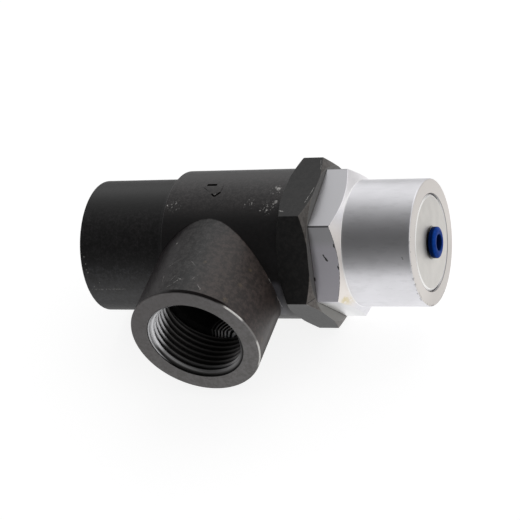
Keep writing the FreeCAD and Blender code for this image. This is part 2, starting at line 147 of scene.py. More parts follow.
class ValveFinishes(bpy.types.PropertyGroup):
    """Colours of the finishes."""
    black: colour("Black body", 0.0092, 0.0080, 0.0085, "Matte black anodised skin")
    spigot: colour("Spigot", 0.0280, 0.0255, 0.0275, "Skin of the inlet spigot")
    boss: colour("Boss", 0.064, 0.0605, 0.0598, "Greyer skin of the outlet boss")
    brown: colour("Brown tint", 0.053, 0.040, 0.036, "Warm patches in the black skin")
    machined: colour("Machined face", 0.165, 0.155, 0.155, "Skin on the faced end of the boss")
    bare: colour("Bare metal", 0.55, 0.54, 0.52, "Aluminium where the skin has worn off")
    satin: colour("Satin cap", 0.805, 0.80, 0.83, "Clear anodised aluminium of the cap")
    faced: colour("Cap end", 0.745, 0.71, 0.68, "Warm faced end of the cap")
    plug: colour("Plug", 0.70, 0.68, 0.65, "Matte anodised aluminium of the plug")
    blue: colour("Release ring", 0.003, 0.045, 0.29, "Moulded blue plastic")
    plated: colour("Plated brass", 0.30, 0.29, 0.27, "Dull nickel plating of the fitting sleeve")
    brass: colour("Brass", 0.72, 0.55, 0.28, "Turned brass")
    steel: colour("Steel", 0.60, 0.60, 0.60, "Stainless steel")
    spring: colour("Spring", 0.30, 0.30, 0.31, "Oiled spring wire")
    hard: colour("Piston", 0.30, 0.31, 0.32, "Hard anodised aluminium")
    rubber: colour("Rubber", 0.02, 0.02, 0.02, "Seal rubber")
    band: colour("Guide band", 0.28, 0.20, 0.12, "Bronze filled plastic")


class ValveCamera(bpy.types.PropertyGroup):
    """Where the camera stands."""
    azimuth: angle("Azimuth", 31.351, "Round the object, from the outlet's side towards the cap")
    elevation: angle("Elevation", 38.536, "Above the floor")
    roll: angle("Roll", -21.10, "Turn of the picture")
    distance: length("Distance", 570.57, "Camera to the point it looks at")
    aim_x: length("Aim along", 48.37, "Point that the camera looks at, along the main axis")
    aim_y: FloatProperty(name="Aim across", description="The same point, across the main axis",
                         default=-6.44 * MM, unit="LENGTH")
    lens: FloatProperty(name="Lens", description="Focal length in millimetres", default=145.41)


# Outlines and meshes

def rounded(corners, steps=5):
    """Points of an outline: (along, out) stays sharp, and (along, out, radius) becomes an arc."""
    points = []
    for k, (x, r, *radius) in enumerate(corners):
        if not radius:
            points.append((x, r))
            continue
        here = Vector((x, r))
        before = Vector(corners[k - 1][:2]) - here
        after = Vector(corners[(k + 1) % len(corners)][:2]) - here
        turn = before.angle(after)
        reach = min(radius[0] / math.tan(turn / 2), 0.45 * before.length, 0.45 * after.length)
        bend = reach * math.tan(turn / 2)
        inwards = (before.normalized() + after.normalized()).normalized()
        middle = here + inwards * math.hypot(reach, bend)
        start = here + before.normalized() * reach - middle
        end = here + after.normalized() * reach - middle
        sweep = start.angle_signed(end)
        for step in range(steps + 1):
            a = -sweep * step / steps
            points.append((
                middle.x + start.x * math.cos(a) - start.y * math.sin(a),
                middle.y + start.x * math.sin(a) + start.y * math.cos(a),
            ))
    return points


def seal_groove(x, radius):
    """Corners of the groove that holds a seal ring, in a shaft of that radius."""
    width, depth = 2.6 * MM, 1.49 * MM
    return [(x, radius), (x, radius - depth), (x + width, radius - depth), (x + width, radius)]


def hexagon_angles(across_flats, corner_radius, turn=0.0, side_steps=30):
    """Angle and reach of points round a hexagon with slightly rounded corners."""
    corner_steps = 4
    inner = across_flats / 2 - corner_radius
    half_side = inner * math.tan(THIRTY)
    points = []
    for k in range(6):
        heading = turn + k * TURN / 6
        out = Vector((math.cos(heading), math.sin(heading)))
        along = Vector((-out.y, out.x))
        for step in range(side_steps):
            t = half_side * (2 * step / side_steps - 1)
            points.append(out * across_flats / 2 + along * t)
        centre = out * inner + along * half_side
        for step in range(corner_steps):
            a = heading + TURN / 6 * step / corner_steps
            points.append(centre + Vector((math.cos(a), math.sin(a))) * corner_radius)
    return [(math.atan2(p.y, p.x), p.length) for p in points]


def on_circle(x, r, a):
    """Place at a distance from the main axis, at an angle round it."""
    return x, -r * math.sin(a), r * math.cos(a)


def skin_between(shape, rings):
    """Faces from each ring of points to the next."""
    for ring, following in zip(rings, rings[1:]):
        for j in range(len(ring)):
            n = (j + 1) % len(ring)
            shape.faces.new((ring[j], ring[n], following[n], following[j]))


def turned_mesh(name, outline_at, angles):
    """Mesh turned about X; outline_at(reach) gives the (x, radius) points at one angle."""
    shape = bmesh.new()
    rings = [[shape.verts.new(on_circle(x, r, a)) for x, r in outline_at(reach)]
             for a, reach in angles]
    skin_between(shape, rings + rings[:1])
    return finished_mesh(name, shape)


def round_mesh(name, points, around):
    """Mesh turned about X with the same outline at every angle."""
    angles = [(TURN * k / around, None) for k in range(around)]
    return turned_mesh(name, lambda reach: points, angles)


def finished_mesh(name, shape, weld=1e-8):
    """Mesh from a bmesh, welded, with its faces outwards."""
    bmesh.ops.remove_doubles(shape, verts=shape.verts, dist=weld)
    bmesh.ops.dissolve_degenerate(shape, edges=shape.edges, dist=weld)
    bmesh.ops.recalc_face_normals(shape, faces=shape.faces)
    mesh = bpy.data.meshes.new(name)
    shape.to_mesh(mesh)
    shape.free()
    return mesh


def add_object(name, data):
    """Object in the scene's own collection."""
    made = bpy.data.objects.new(name, data)
    bpy.context.scene.collection.objects.link(made)
    return made


def add_piece(name, mesh, crease_degrees=26):
    """Object with smooth faces, sharp at edges steeper than the crease."""
    mesh.shade_smooth()
    mesh.set_sharp_from_angle(angle=math.radians(crease_degrees))
    piece = add_object(name, mesh)
    piece.modifiers.new("weighted_normals", "WEIGHTED_NORMAL").keep_sharp = True
    return piece


def combined(base, operation, tools):
    """Mesh of base after joining or cutting with each tool mesh; the tools are used up."""
    holder = add_object("blank", base)
    helpers = [add_object("tool", tool) for tool in tools]
    for helper in helpers:
        step = holder.modifiers.new("step", "BOOLEAN")
        step.operation = operation
        step.solver = "EXACT"
        step.object = helper
    bpy.context.view_layer.update()
    made = holder.evaluated_get(bpy.context.evaluated_depsgraph_get())
    mesh = bpy.data.meshes.new_from_object(made)
    for helper in helpers + [holder]:
        used = helper.data
        bpy.data.objects.remove(helper)
        bpy.data.meshes.remove(used)
    if not mesh.polygons:
        raise RuntimeError("joining or cutting left nothing of " + mesh.name)
    return mesh


def block(x0, x1, y0, y1, z0, z1):
    """Plain box, as a tool for cutting."""
    shape = bmesh.new()
    bmesh.ops.create_cube(shape, size=1.0)
    size = Vector((x1 - x0, y1 - y0, z1 - z0))
    middle = Vector((x0 + x1, y0 + y1, z0 + z1)) / 2
    bmesh.ops.scale(shape, vec=size, verts=shape.verts)
    bmesh.ops.translate(shape, vec=middle, verts=shape.verts)
    return finished_mesh("block", shape)


def stroke(start, end, width, floor, top):
    """Bar from start to end as seen from above, as a tool for engraving."""
    start, end = Vector(start), Vector(end)
    across = (end - start).normalized().orthogonal() * width / 2
    corners = [start - across, end - across, end + across, start + across]
    shape = bmesh.new()
    low, high = [[shape.verts.new((c.x, c.y, level)) for c in corners] for level in (floor, top)]
    shape.faces.new(low)
    shape.faces.new(high)
    skin_between(shape, [low, high])
    return finished_mesh("stroke", shape)


def coil_mesh(name, x0, x1, wire, mean_radius, coils, end_coils, share=(0, 1)):
    """Round wire wound along X, its ends laid close and ground flat, or only a share of it."""
    around, per_coil = 12, 44
    wires_per_end_coil = 1.04
    low = x0 + wire / 2
    high = x1 - wire / 2
    end_rise = end_coils * wire * wires_per_end_coil
    open_rise = high - low - 2 * end_rise
    open_coils = coils - 2 * end_coils
    ground = wire * 0.12
    steps = round(coils * per_coil)
    first, last = (round(steps * part) for part in share)

    def centre(turn):
        near_end = min(turn, end_coils) + max(0, turn - coils + end_coils)
        in_open = min(max(0, turn - end_coils), open_coils)
        x = low + end_rise * near_end / end_coils + open_rise * in_open / open_coils
        a = TURN * turn
        return Vector((x, mean_radius * math.cos(a), mean_radius * math.sin(a)))

    shape = bmesh.new()
    rings = []
    for k in range(first, last + 1):
        turn = coils * k / steps
        middle = centre(turn)
        along = (centre(turn + 0.01) - centre(turn - 0.01)).normalized()
        out = Vector((0, middle.y, middle.z)).normalized()
        side = along.cross(out).normalized()
        ring = []
        for j in range(around):
            a = TURN * j / around
            point = middle + (out * math.cos(a) + side * math.sin(a)) * wire / 2
            point.x = min(max(point.x, x0 + ground), x1 - ground)
            ring.append(shape.verts.new(point))
        rings.append(ring)
    skin_between(shape, rings)
    shape.faces.new(rings[0])
    shape.faces.new(rings[-1])
    return finished_mesh(name, shape)


def ridge_radius(ports, into_pitch):
    """Radius of the thread's surface at a place across one ridge, from -0.5 to 0.5 of the pitch."""
    major = ports.major_diameter / 2
    minor = major - ports.ridge_height
    round_radius = ports.crest_radius
    flank = math.radians(27.5)
    side = abs(into_pitch) * ports.pitch
    root_side = ports.pitch / 2 - side
    arc_side = round_radius * math.cos(flank)
    if side < arc_side:
        return minor + round_radius - math.sqrt(round_radius ** 2 - side ** 2)
    if root_side < arc_side:
        return major - round_radius + math.sqrt(round_radius ** 2 - root_side ** 2)
    crest_out = minor + round_radius * (1 - math.sin(flank))
    root_in = major - round_radius * (1 - math.sin(flank))
    share = (side - arc_side) / (ports.pitch / 2 - 2 * arc_side)
    return crest_out + (root_in - crest_out) * share


def thread_mesh(name, ports):
    """Ridges of a pipe thread along X from a mouth at x = 0, cut by the countersink."""
    across, around = 14, 120
    before_mouth = 0.6
    wall = ports.major_diameter / 2 + 0.12 * MM
    back = wall + 0.1 * MM
    mouth = ports.mouth_diameter / 2
    depth = ports.thread_depth
    turns = depth / ports.pitch + before_mouth
    shape = bmesh.new()
    rings = []
    for k in range(round(turns * around) + 1):
        turn = k / around
        points = []
        for j in range(across + 1):
            place = j / across - 0.5
            x = (turn - before_mouth + place) * ports.pitch
            run_out = min(max((depth - 0.4 * MM - x) / (1.2 * MM), 0.0), 1.0)
            r = wall + (ridge_radius(ports, place) - wall) * run_out * run_out * (3 - 2 * run_out)
            points.append((min(max(x, 0.1 * MM), depth + 0.3 * MM), min(max(r, mouth - x), wall)))
        points += [(points[-1][0], back), (points[0][0], back)]
        a = TURN * turn + ports.thread_start
        rings.append([shape.verts.new(on_circle(x, r, a)) for x, r in points])
    skin_between(shape, rings)
    shape.faces.new(rings[0])
    shape.faces.new(rings[-1])
    return finished_mesh(name, shape, weld=1e-7)


def outlet_place(sizes):
    """Turns a piece made along X from a mouth at x = 0 into the outlet's place."""
    move = Matrix.Translation((sizes.outlet_x, -sizes.boss_reach, 0))
    return move @ Matrix.Rotation(math.pi / 2, 4, "Z")


# Finishes

class Tone:
    """Colours that vary the main ones within a finish."""
    black_shadow = (0.0047, 0.0040, 0.0042)
    dust = (0.058, 0.052, 0.052)
    spigot_shadow = (0.0005, 0.0005, 0.0005)
    spigot_shoulder = (0.030, 0.030, 0.032)
    # Painted sheen on the spigot's near side
    spigot_painted_sheen = (0.043, 0.043, 0.047)
    hexagon_shadow = (0.003, 0.003, 0.003)
    hexagon_light = (0.017, 0.0155, 0.015)
    # Painted shade on the hexagon's flats that look down
    hexagon_painted_shade = (0.002, 0.002, 0.002)
    # Own lighter tone of the hexagon's end face, with painted light from the floor at the bottom
    hexagon_end_and_painted_light = (0.240, 0.233, 0.218)
    bevel_shadow = (0.115, 0.100, 0.090)
    bevel_light = (0.190, 0.172, 0.158)
    # Painted highlight in a bluish grey strip on the body beside the boss
    between = (0.104, 0.103, 0.117)
    boss_shadow = (0.014, 0.0135, 0.0138)
    # Painted shade on the spigot's side of the boss
    boss_side = (0.0080, 0.0030, 0.0050)
    boss_fleck = (0.150, 0.115, 0.070)
    face_painted_light = (0.262, 0.252, 0.250)
    # Painted light on the end of the boss
    face_mottle = (0.120, 0.110, 0.104)
    # Painted shade, near black, in the bores and inside the body
    bore = (0.0012, 0.0012, 0.0012)
    engraving = (0.0004, 0.0004, 0.0004)
    rim_shadow = (0.003, 0.002, 0.002)
    # Worn rim edge with a painted highlight
    rim_wear_and_painted_highlight = (0.97, 0.955, 0.92)
    dark_line = (0.004, 0.004, 0.004)
    # Painted reflection of the thread's ridges
    painted_reflection_ring = (0.97, 0.97, 0.97)
    # Painted shade at the thread's roots
    thread_root_painted_shade = (0.002, 0.002, 0.002)
    thread_shadow = (0.060, 0.058, 0.057)
    # Painted light on the thread's flanks
    thread_flank_painted_light = (0.170, 0.165, 0.165)
    # Painted highlight on the thread's crests
    thread_painted_highlight = (0.86, 0.86, 0.88)
    cap_flat = (0.690, 0.670, 0.725)
    # Painted light on the cap's low flats
    cap_low_flat_painted_light = (0.80, 0.80, 0.81)
    # Painted light on the cap's low flats by the hexagon
    cap_low_end_painted_light = (0.92, 0.92, 0.92)
    cap_warm = (0.86, 0.815, 0.775)
    # Painted highlight on the top of the cap's cone
    cap_cone_painted_highlight = (1.0, 0.98, 1.0)
    # Painted highlight where the cone meets the barrel
    cap_cone_end_painted_highlight = (0.95, 0.95, 0.95)
    cap_dark = (0.035, 0.034, 0.036)
    cap_stain = (0.70, 0.61, 0.36)
    plug_edge = (0.93, 0.92, 0.90)


# Small marks in millimetres: spots as (centre, radius), lines as (start, end, width)
BOSS_FLECKS = (
    ((52.0, -35.6, 13.2), 0.7), ((57.6, -35.1, -1.8), 0.8), ((53.4, -28.5, 11.7), 0.6),
    ((44.2, -25.8, 17.4), 0.5), ((53.9, -22.1, 11.0), 0.5),
)
SPECK_GROUPS = (
    ((57.8, -1.2, 20.3), 1.6), ((56.6, -6.6, 19.2), 1.9), ((51.0, -5.4, 19.6), 1.5),
    ((28.8, -5.7, 19.5), 1.7),
)
BARE_DOTS = (
    ((58.2, -0.6, 20.4), 0.52), ((57.4, -0.1, 20.4), 0.34), ((58.6, -5.1, 19.8), 0.46),
    ((58.0, -5.8, 19.6), 0.26), ((56.5, -7.5, 19.0), 0.30), ((54.6, -7.6, 18.9), 0.22),
    ((51.7, -5.4, 19.7), 0.20), ((49.8, -5.8, 19.6), 0.18), ((31.0, -14.5, 14.3), 0.22),
    ((1.3, -15.3, 9.9), 0.22), ((1.5, -16.3, 8.1), 0.16), ((1.4, -17.0, 6.5), 0.18),
    ((1.7, -17.3, 5.7), 0.26), ((2.4, -18.1, 1.2), 0.22), ((4.4, -18.0, 2.5), 0.18),
    ((40.1, -2.2, 20.2), 0.20), ((26.7, -5.6, 19.6), 0.22), ((33.0, -17.7, 16.7), 0.24),
)
BARE_LINES = (
    ((38.0, -34.4, 18.0), (39.3, -33.0, 18.0), 0.13),
    ((39.6, -32.7, 18.0), (41.4, -33.3, 17.9), 0.10),
    ((45.0, -34.2, 17.2), (46.0, -35.5, 16.9), 0.16),
    ((42.8, -31.5, 17.7), (43.4, -32.6, 17.6), 0.10),
    ((67.5, -6.3, 20.5), (68.4, -0.6, 20.5), 0.15),
    ((67.05, 10.65, 20.5), (68.27, 6.52, 20.5), 0.12),
    ((56.9, -19.7, 5.4), (57.8, -20.4, -0.5), 0.20),
    ((57.8, -20.4, -0.5), (57.8, -19.9, -4.6), 0.26),
    ((60.6, -9.4, 20.5), (62.3, -9.8, 20.5), 0.30),
    ((67.35, -23.5, -0.2), (67.9, -22.5, -3.9), 0.26),
)
FAINT_LINES = tuple((start, end, 0.16) for start, end in (
    ((36.9, -33.6, 17.7), (37.7, -31.4, 17.9)), ((38.9, -32.3, 18.0), (40.5, -33.4, 18.0)),
    ((34.2, -27.2, 17.1), (35.5, -26.0, 17.5)), ((36.2, -36.0, 17.7), (37.8, -34.7, 17.9)),
    ((40.6, -26.1, 18.0), (42.5, -27.8, 17.8)), ((43.0, -32.4, 17.7), (44.1, -30.6, 17.5)),
    ((34.4, -32.9, 17.2), (33.8, -30.5, 17.0)), ((41.2, -23.9, 17.9), (41.9, -22.2, 17.9)),
))
SPIGOT_SCUFF = ((1.5, -18.2, 0.1), (11.6, -18.2, 0.3), 0.4)
BEVEL_LINE = ((67.5, -23.3, 0.1), (68.8, -20.8, -0.3), 0.34)
HIGHLIGHT_BY_BOSS = ((58.1, -20.2, 2.5), (56.6, -19.0, -8.0), 3.4)
CAP_NICKS = (
    ((72.3, -15.3, 9.9), (73.2, -15.9, 8.4), 0.42),
    ((75.6, -14.1, 12.5), (75.8, -14.4, 11.6), 0.35),
    ((76.0, -16.7, 7.1), (76.1, -16.9, 6.2), 0.30),
    ((68.96, -18.0, 4.6), (69.1, -18.1, 3.3), 0.40),
)
BARREL_NICK = ((93.7, -14.8, 8.3), (93.9, -15.0, 8.0), 0.28)
CAP_STAIN = ((75.5, -18.6, -3.0), (75.5, -14.6, -6.9), 2.3)


def toned(shade, factor, lift=0.0):
    """A colour made darker or lighter."""
    return tuple(min(1.0, factor * part + lift) for part in shade)


class InMillimetres:
    """The sizes of a property group, in millimetres."""

    def __init__(self, group):
        self.group = group

    def __getattr__(self, name):
        return getattr(self.group, name) / MM


class Level:
    """A number that varies over a surface, so that masks read as plain sums."""

    def __init__(self, finish, socket):
        self.finish = finish
        self.socket = socket

    def math(self, operation, *values):
        made = self.finish.node("ShaderNodeMath", {"operation": operation}, dict(enumerate(values)))
        return Level(self.finish, made.outputs[0])

    def __add__(self, other):
        return self.math("ADD", self, other)

    __radd__ = __add__

    def __sub__(self, other):
        return self.math("SUBTRACT", self, other)

    def __rsub__(self, other):
        return self.math("SUBTRACT", other, self)

    def __mul__(self, other):
        return self.math("MULTIPLY", self, other)

    __rmul__ = __mul__

    def __truediv__(self, other):
        return self.math("DIVIDE", self, other)

    def __rtruediv__(self, other):
        return self.math("DIVIDE", other, self)

    def __pow__(self, other):
        return self.math("POWER", self, other)

    def __rpow__(self, other):
        return self.math("POWER", other, self)

    def __abs__(self):
        return self.math("ABSOLUTE", self)

    def sine(self):
        return self.math("SINE", self)

    def turn_from(self, other):
        """Angle in degrees, from -180 to 180, of this level towards the other."""
        return self.math("ARCTAN2", self, other) * math.degrees(1.0)

    def highest(self, *others):
        strongest = self
        for other in others:
            strongest = self.math("MAXIMUM", strongest, other)
        return strongest


class Finish:
    """One material: its node tree, its shader and the nodes that the finishes share."""

    def __init__(self, name, tree=None):
        if tree is None:
            self.material = bpy.data.materials.new(name)
            self.material.use_nodes = True
            tree = self.material.node_tree
        self.tree = tree
        tree.nodes.clear()

    def node(self, kind, settings=None, sockets=None):
        """Any node, from its type, its settings and the values or links of its sockets."""
        made = self.tree.nodes.new(kind)
        for key, value in (settings or {}).items():
            setattr(made, key, value)
        for key, value in (sockets or {}).items():
            self.feed(self.socket_of(made, key), value)
        return made

    def socket_of(self, node, key):
        if isinstance(key, int):
            return node.inputs[key]
        for socket in node.inputs:
            if socket.enabled and key in (socket.name, socket.identifier):
                return socket
        raise KeyError(key)

    def feed(self, socket, value):
        if isinstance(value, Level):
            value = value.socket
        if isinstance(value, bpy.types.NodeSocket):
            self.tree.links.new(value, socket)
        elif socket.type == "RGBA" and len(value) == 3:
            socket.default_value = (*value, 1.0)
        else:
            socket.default_value = value

    def level(self, socket):
        return Level(self, socket)

    def vector(self, operation, *values):
        """A vector made from vectors."""
        made = self.node("ShaderNodeVectorMath", {"operation": operation}, dict(enumerate(values)))
        return made.outputs[0]

    def measure(self, operation, *values):
        """A number made from vectors."""
        made = self.node("ShaderNodeVectorMath", {"operation": operation}, dict(enumerate(values)))
        return self.level(made.outputs["Value"])

    def scaled(self, vector, factor):
        return self.node("ShaderNodeVectorMath", {"operation": "SCALE"},
                         {0: vector, "Scale": factor}).outputs[0]

    def place(self):
        """Position on the piece in millimetres, as a vector socket."""
        return self.scaled(self.node("ShaderNodeTexCoord").outputs["Object"], 1 / MM)

    def split(self, place):
        made = self.node("ShaderNodeSeparateXYZ", None, {0: place})
        return [self.level(socket) for socket in made.outputs]

    def parts(self, place):
        """Along the main axis, across it, up, and the distance from it."""
        x, y, z = self.split(place)
        return x, y, z, (y * y + z * z) ** 0.5

    def joined(self, x, y, z):
        return self.node("ShaderNodeCombineXYZ", None, {0: x, 1: y, 2: z}).outputs[0]

    def noise(self, vector, scale, detail=3.0, roughness=0.55):
        made = self.node("ShaderNodeTexNoise", None, {
            "Vector": vector, "Scale": scale, "Detail": detail, "Roughness": roughness,
        })
        return self.level(made.outputs["Fac"])

    def turning_marks(self, along, out, fine):
        """Height of the faint rings that a lathe leaves."""
        return self.noise(self.joined(along * fine, out * fine, 0.0), 1.0, 2.0, 0.6)

    def ramp(self, value, start, end, low=0.0, high=1.0, kind="SMOOTHSTEP"):
        """Step of a value from start to end, smooth unless it is asked for linear."""
        made = self.node("ShaderNodeMapRange", {"interpolation_type": kind, "clamp": True}, {
            "Value": value, "From Min": start, "From Max": end, "To Min": low, "To Max": high,
        })
        return self.level(made.outputs["Result"])

    def band(self, value, start, end, soft):
        """Mask of the values from start to end, with soft borders outside them."""
        return self.ramp(value, start - soft, start) * self.ramp(value, end + soft, end)

    def within(self, away, reach, soft):
        """Mask of what is nearer than a reach, with a soft border."""
        return self.ramp(away, reach * (1 + soft), reach * (1 - soft))

    def spots(self, place, marks, soft):
        """Mask of small round marks, each given as (centre, radius)."""
        return self.gathered([
            self.within(self.measure("DISTANCE", place, centre), radius, soft)
            for centre, radius in marks
        ])

    def scratch(self, place, mark, soft=0.5):
        """Mask of a mark along a line, given as (start, end, width)."""
        start, end, width = mark
        along = Vector(end) - Vector(start)
        shifted = self.vector("SUBTRACT", place, start)
        share = self.measure("DOT_PRODUCT", shifted, along / along.length_squared)
        share = self.ramp(share, 0.0, 1.0, kind="LINEAR")
        away = self.measure("DISTANCE", shifted, self.scaled(along, share))
        return self.within(away, width / 2, soft)

    def scratches(self, place, marks, soft=0.5):
        return self.gathered([self.scratch(place, mark, soft) for mark in marks])

    def gathered(self, masks):
        """The strongest of several masks."""
        return masks[0].highest(*masks[1:])

    def wandering(self, place, scale, reach):
        """Place shifted by a noise, which gives small marks ragged outlines."""
        drift = self.node("ShaderNodeTexNoise", None, {"Vector": place, "Scale": scale})
        back = self.vector("SUBTRACT", place, (reach,) * 3)
        return self.vector("MULTIPLY_ADD", drift.outputs["Color"], (2 * reach,) * 3, back)

    def mixed(self, share, first, second):
        """Colour between two colours."""
        made = self.node("ShaderNodeMix", {"data_type": "RGBA"}, {
            "Factor_Float": share, "A_Color": first, "B_Color": second,
        })
        return next(socket for socket in made.outputs if socket.enabled)

    def layered(self, base, *layers):
        """Colour under layers, each a mask and the colour that it lays on."""
        for mask, shade in layers:
            base = self.mixed(mask, base, shade)
        return base

    def bump(self, height, distance, strength=0.5):
        """Normal from a height between 0 and 1 that stands for a distance in millimetres."""
        return self.node("ShaderNodeBump", None, {
            "Height": height, "Distance": distance * MM, "Strength": strength,
        }).outputs["Normal"]

    def surface(self, **values):
        """The shader and the output; keywords are socket names with _ for spaces."""
        sockets = {key.replace("_", " "): value for key, value in values.items()}
        shader = self.node("ShaderNodeBsdfPrincipled", None, sockets)
        self.node("ShaderNodeOutputMaterial", None, {"Surface": shader.outputs[0]})
        return self.material


class BlackSkin(Finish):
    """Black anodised skin of the body: a tone for each zone, painted light and shade, wear, and the
    marks of handling.
    """

    def __init__(self, colours, sizes, ports):
        super().__init__("black_anodised")
        self.colours = colours
        self.body = body = InMillimetres(sizes)
        self.at = at = self.place()
        self.ragged = self.wandering(at, 1.6, 0.28)
        self.x, self.y, self.z, self.out = x, y, z, out = self.parts(at)
        self.boss_x = boss_x = x - body.outlet_x
        self.boss_turn = boss_x.turn_from(z)
        boss_out = (boss_x * boss_x + z * z) ** 0.5
        depth = y + body.boss_reach

        self.grain = self.noise(at, 1.9, 4.0, 0.78)
        self.speckled = self.ramp(self.grain, 0.40, 0.60, kind="LINEAR")
        self.mottle = self.noise(at, 0.75, 5.0, 0.72)
        self.mottled = self.ramp(self.mottle, 0.40, 0.62)
        self.speck = self.noise(at, 2.1, 2.0, 0.5)

        ramp = self.ramp
        mouth = ports.mouth_diameter / 2 / MM
        body_radius = body.body_diameter / 2
        spigot_radius = body.spigot_diameter / 2
        boss_radius = body.boss_diameter / 2
        hexagon = body.body_length - body.hex_thickness
        self.rim = ramp(boss_out, boss_radius - 0.40, boss_radius - 0.28) * ramp(depth, 0.42, 0.30)
        boss_side = ramp(abs(boss_out - boss_radius), 0.14, 0.08) * ramp(y, -8.0, -9.0)
        self.on_boss = boss_side.highest(self.rim)
        self.on_spigot = (ramp(x, body.spigot_length + 0.1, body.spigot_length - 0.1)
                          * ramp(out, spigot_radius + 0.3, spigot_radius + 0.1))
        self.on_hexagon = ramp(x, hexagon - 0.05, hexagon + 0.05)
        self.faced = ramp(depth, 0.25, 0.12) * ramp(boss_out, mouth - 0.1, mouth)
        self.in_outlet = (ramp(boss_out, mouth + 0.1, mouth) * ramp(out, 16.4, 17.0)
                          * ramp(y, -4.0, -5.0))
        self.inside = ramp(out, 17.6, 17.4) * self.band(x, 0.1, body.body_length - 0.2, 0.1)
        self.engraved = (ramp(out, body_radius - 0.05, body_radius - 0.12) * ramp(z, 17.0, 18.0)
                         * self.band(x, 34.0, 43.0, 0.5))
        self.under_rim = (self.band(depth, 0.25, 0.95, 0.3)
                          * self.band(self.boss_turn, -2.0, 40.0, 13.0) * self.on_boss)
        # Painted light on the spigot's near side and painted shade on its far side
        self.painted_light_near_side = ramp(y, 7.0, 1.0, 0.2, 1.0)
        self.marks = self.turning_marks(x * (1 - self.on_boss) + depth * self.on_boss,
                                        boss_out * self.faced, 1.6)

    def body_colour(self):
        """Plain black, dusty along the top."""
        dusty = self.ramp(self.z, 17.6, 20.5) * self.ramp(self.mottle, 0.35, 0.60, 0.3, 1.0)
        return self.layered(
            self.colours.black,
            (self.mottled, Tone.black_shadow),
            (dusty * (0.30 + 0.65 * self.speckled), Tone.dust),
        )

    def spigot_colour(self):
        """Turned skin over painted shade, which shows on top, lower down and on the far side, with
        a lighter band by the shoulder and a mottled painted sheen round the middle of the near
        side.
        """
        ramp, mottle, z = self.ramp, self.mottle, self.z
        flecked = 0.15 + 0.85 * self.speckled
        # Painted shade: the spigot_shadow tone stays on top, lower down and on the far side
        turned = ramp(z, 18.4, 16.8) * ramp(z, -3.0, 4.0, 0.3, 1.0)
        turned = turned * flecked * ramp(mottle, 0.40, 0.60, 0.4, 1.0)
        turned = turned * ramp(self.marks, 0.35, 0.65, 0.6, 1.0) * self.painted_light_near_side
        by_shoulder = self.band(self.x, 24.3, 25.2, 0.4) * ramp(z, -4.0, 2.0)
        # Painted sheen, mottled, round the middle of the near side
        lower = self.band(z, -7.0, 6.5, 1.5) * ramp(mottle, 0.43, 0.58) * flecked
        return self.layered(
            Tone.spigot_shadow,
            (turned, self.colours.spigot),
            (by_shoulder * 0.35, Tone.spigot_shoulder),
            (lower * self.painted_light_near_side, Tone.spigot_painted_sheen),
        )

    def hexagon_colour(self):
        """Mottled above, with painted shade on the flats that look down."""
        return self.layered(
            Tone.hexagon_shadow,
            (self.mottled * (0.5 + 0.5 * self.speckled), Tone.hexagon_light),
            (self.ramp(self.z, 0.0, -3.0), Tone.hexagon_painted_shade),
        )

    def boss_colour(self):
        """Grey over black, in painted shade on the spigot's side and warm towards the hexagon."""
        ramp, mottle = self.ramp, self.mottle
        streaks = self.noise(self.vector("MULTIPLY", self.at, (0.7, 0.10, 0.7)), 1.0, 3.0, 0.6)
        cloud = self.noise(self.at, 0.16, 3.0, 0.55)
        # Painted shade: the spigot's side of the boss is darker and purplish, and its grey mottle
        # fades there
        away_from_spigot = ramp(self.boss_x, -14.0, 2.0)
        light = ramp(mottle * 0.75 + streaks * 0.25, 0.42, 0.58, 0.15, 1.0)
        light = light * (0.45 + 0.55 * self.speckled) * ramp(self.boss_x, -14.0, 2.0, 0.25, 1.0)
        warm = ramp(self.boss_x + 9.0 * (cloud - 0.5) + 5.0 * (mottle - 0.5), 1.0, 10.0)
        warm = warm * ramp(self.z, -12.0, -2.0, 0.6, 1.0) * ramp(mottle, 0.25, 0.7, 0.6, 1.0)
        warm_light = ramp(mottle * 0.8 + streaks * 0.2, 0.40, 0.60) * (0.5 + 0.5 * self.speckled)
        brown = self.colours.brown
        flecks = self.spots(self.ragged, BOSS_FLECKS, 0.6)
        return self.layered(
            self.mixed(away_from_spigot, Tone.boss_side, Tone.boss_shadow),
            (light, self.colours.boss),
            (warm, self.mixed(warm_light, toned(brown, 0.70), toned(brown, 1.50))),
            (flecks * self.speckled * 0.6, Tone.boss_fleck),
        )

    def face_colour(self):
        """Turned end of the boss, with painted light that grows towards the cap and the floor."""
        # Painted light: the face grows lighter towards the cap and the floor
        light = self.ramp(0.5 * self.boss_x - 0.8 * self.z, -12.0, 13.0, kind="LINEAR")
        return self.layered(
            self.colours.machined,
            (light, Tone.face_painted_light),
            (self.ramp(self.mottle, 0.40, 0.62, 0.0, 0.5), Tone.face_mottle),
        )

    def hexagon_ends(self):
        """Layers for the bevel and the end face of the hexagon; the end face is lighter low down,
        as painted light from the floor.
        """
        ramp, out = self.ramp, self.out
        face = self.body.hex_face_diameter / 2
        end = self.body.body_length
        from_bevel = self.x + (out - face) * math.tan(THIRTY) - end
        bevel = ramp(abs(from_bevel), 0.16, 0.08) * ramp(out, face - 0.05, face + 0.05)
        on_end = ramp(self.x, end - 0.12, end - 0.04) * self.on_hexagon * ramp(out, 17.6, 17.8)
        bevel_skin = self.mixed(ramp(self.mottle, 0.40, 0.60), Tone.bevel_shadow, Tone.bevel_light)
        return (
            (bevel * ramp(self.z, 10.0, 2.0, 0.55, 1.0), bevel_skin),
            # The end face's own tone, with painted light from the floor at the bottom
            (on_end * ramp(self.z, 1.0, -3.0, 0.35, 1.0), Tone.hexagon_end_and_painted_light),
        )

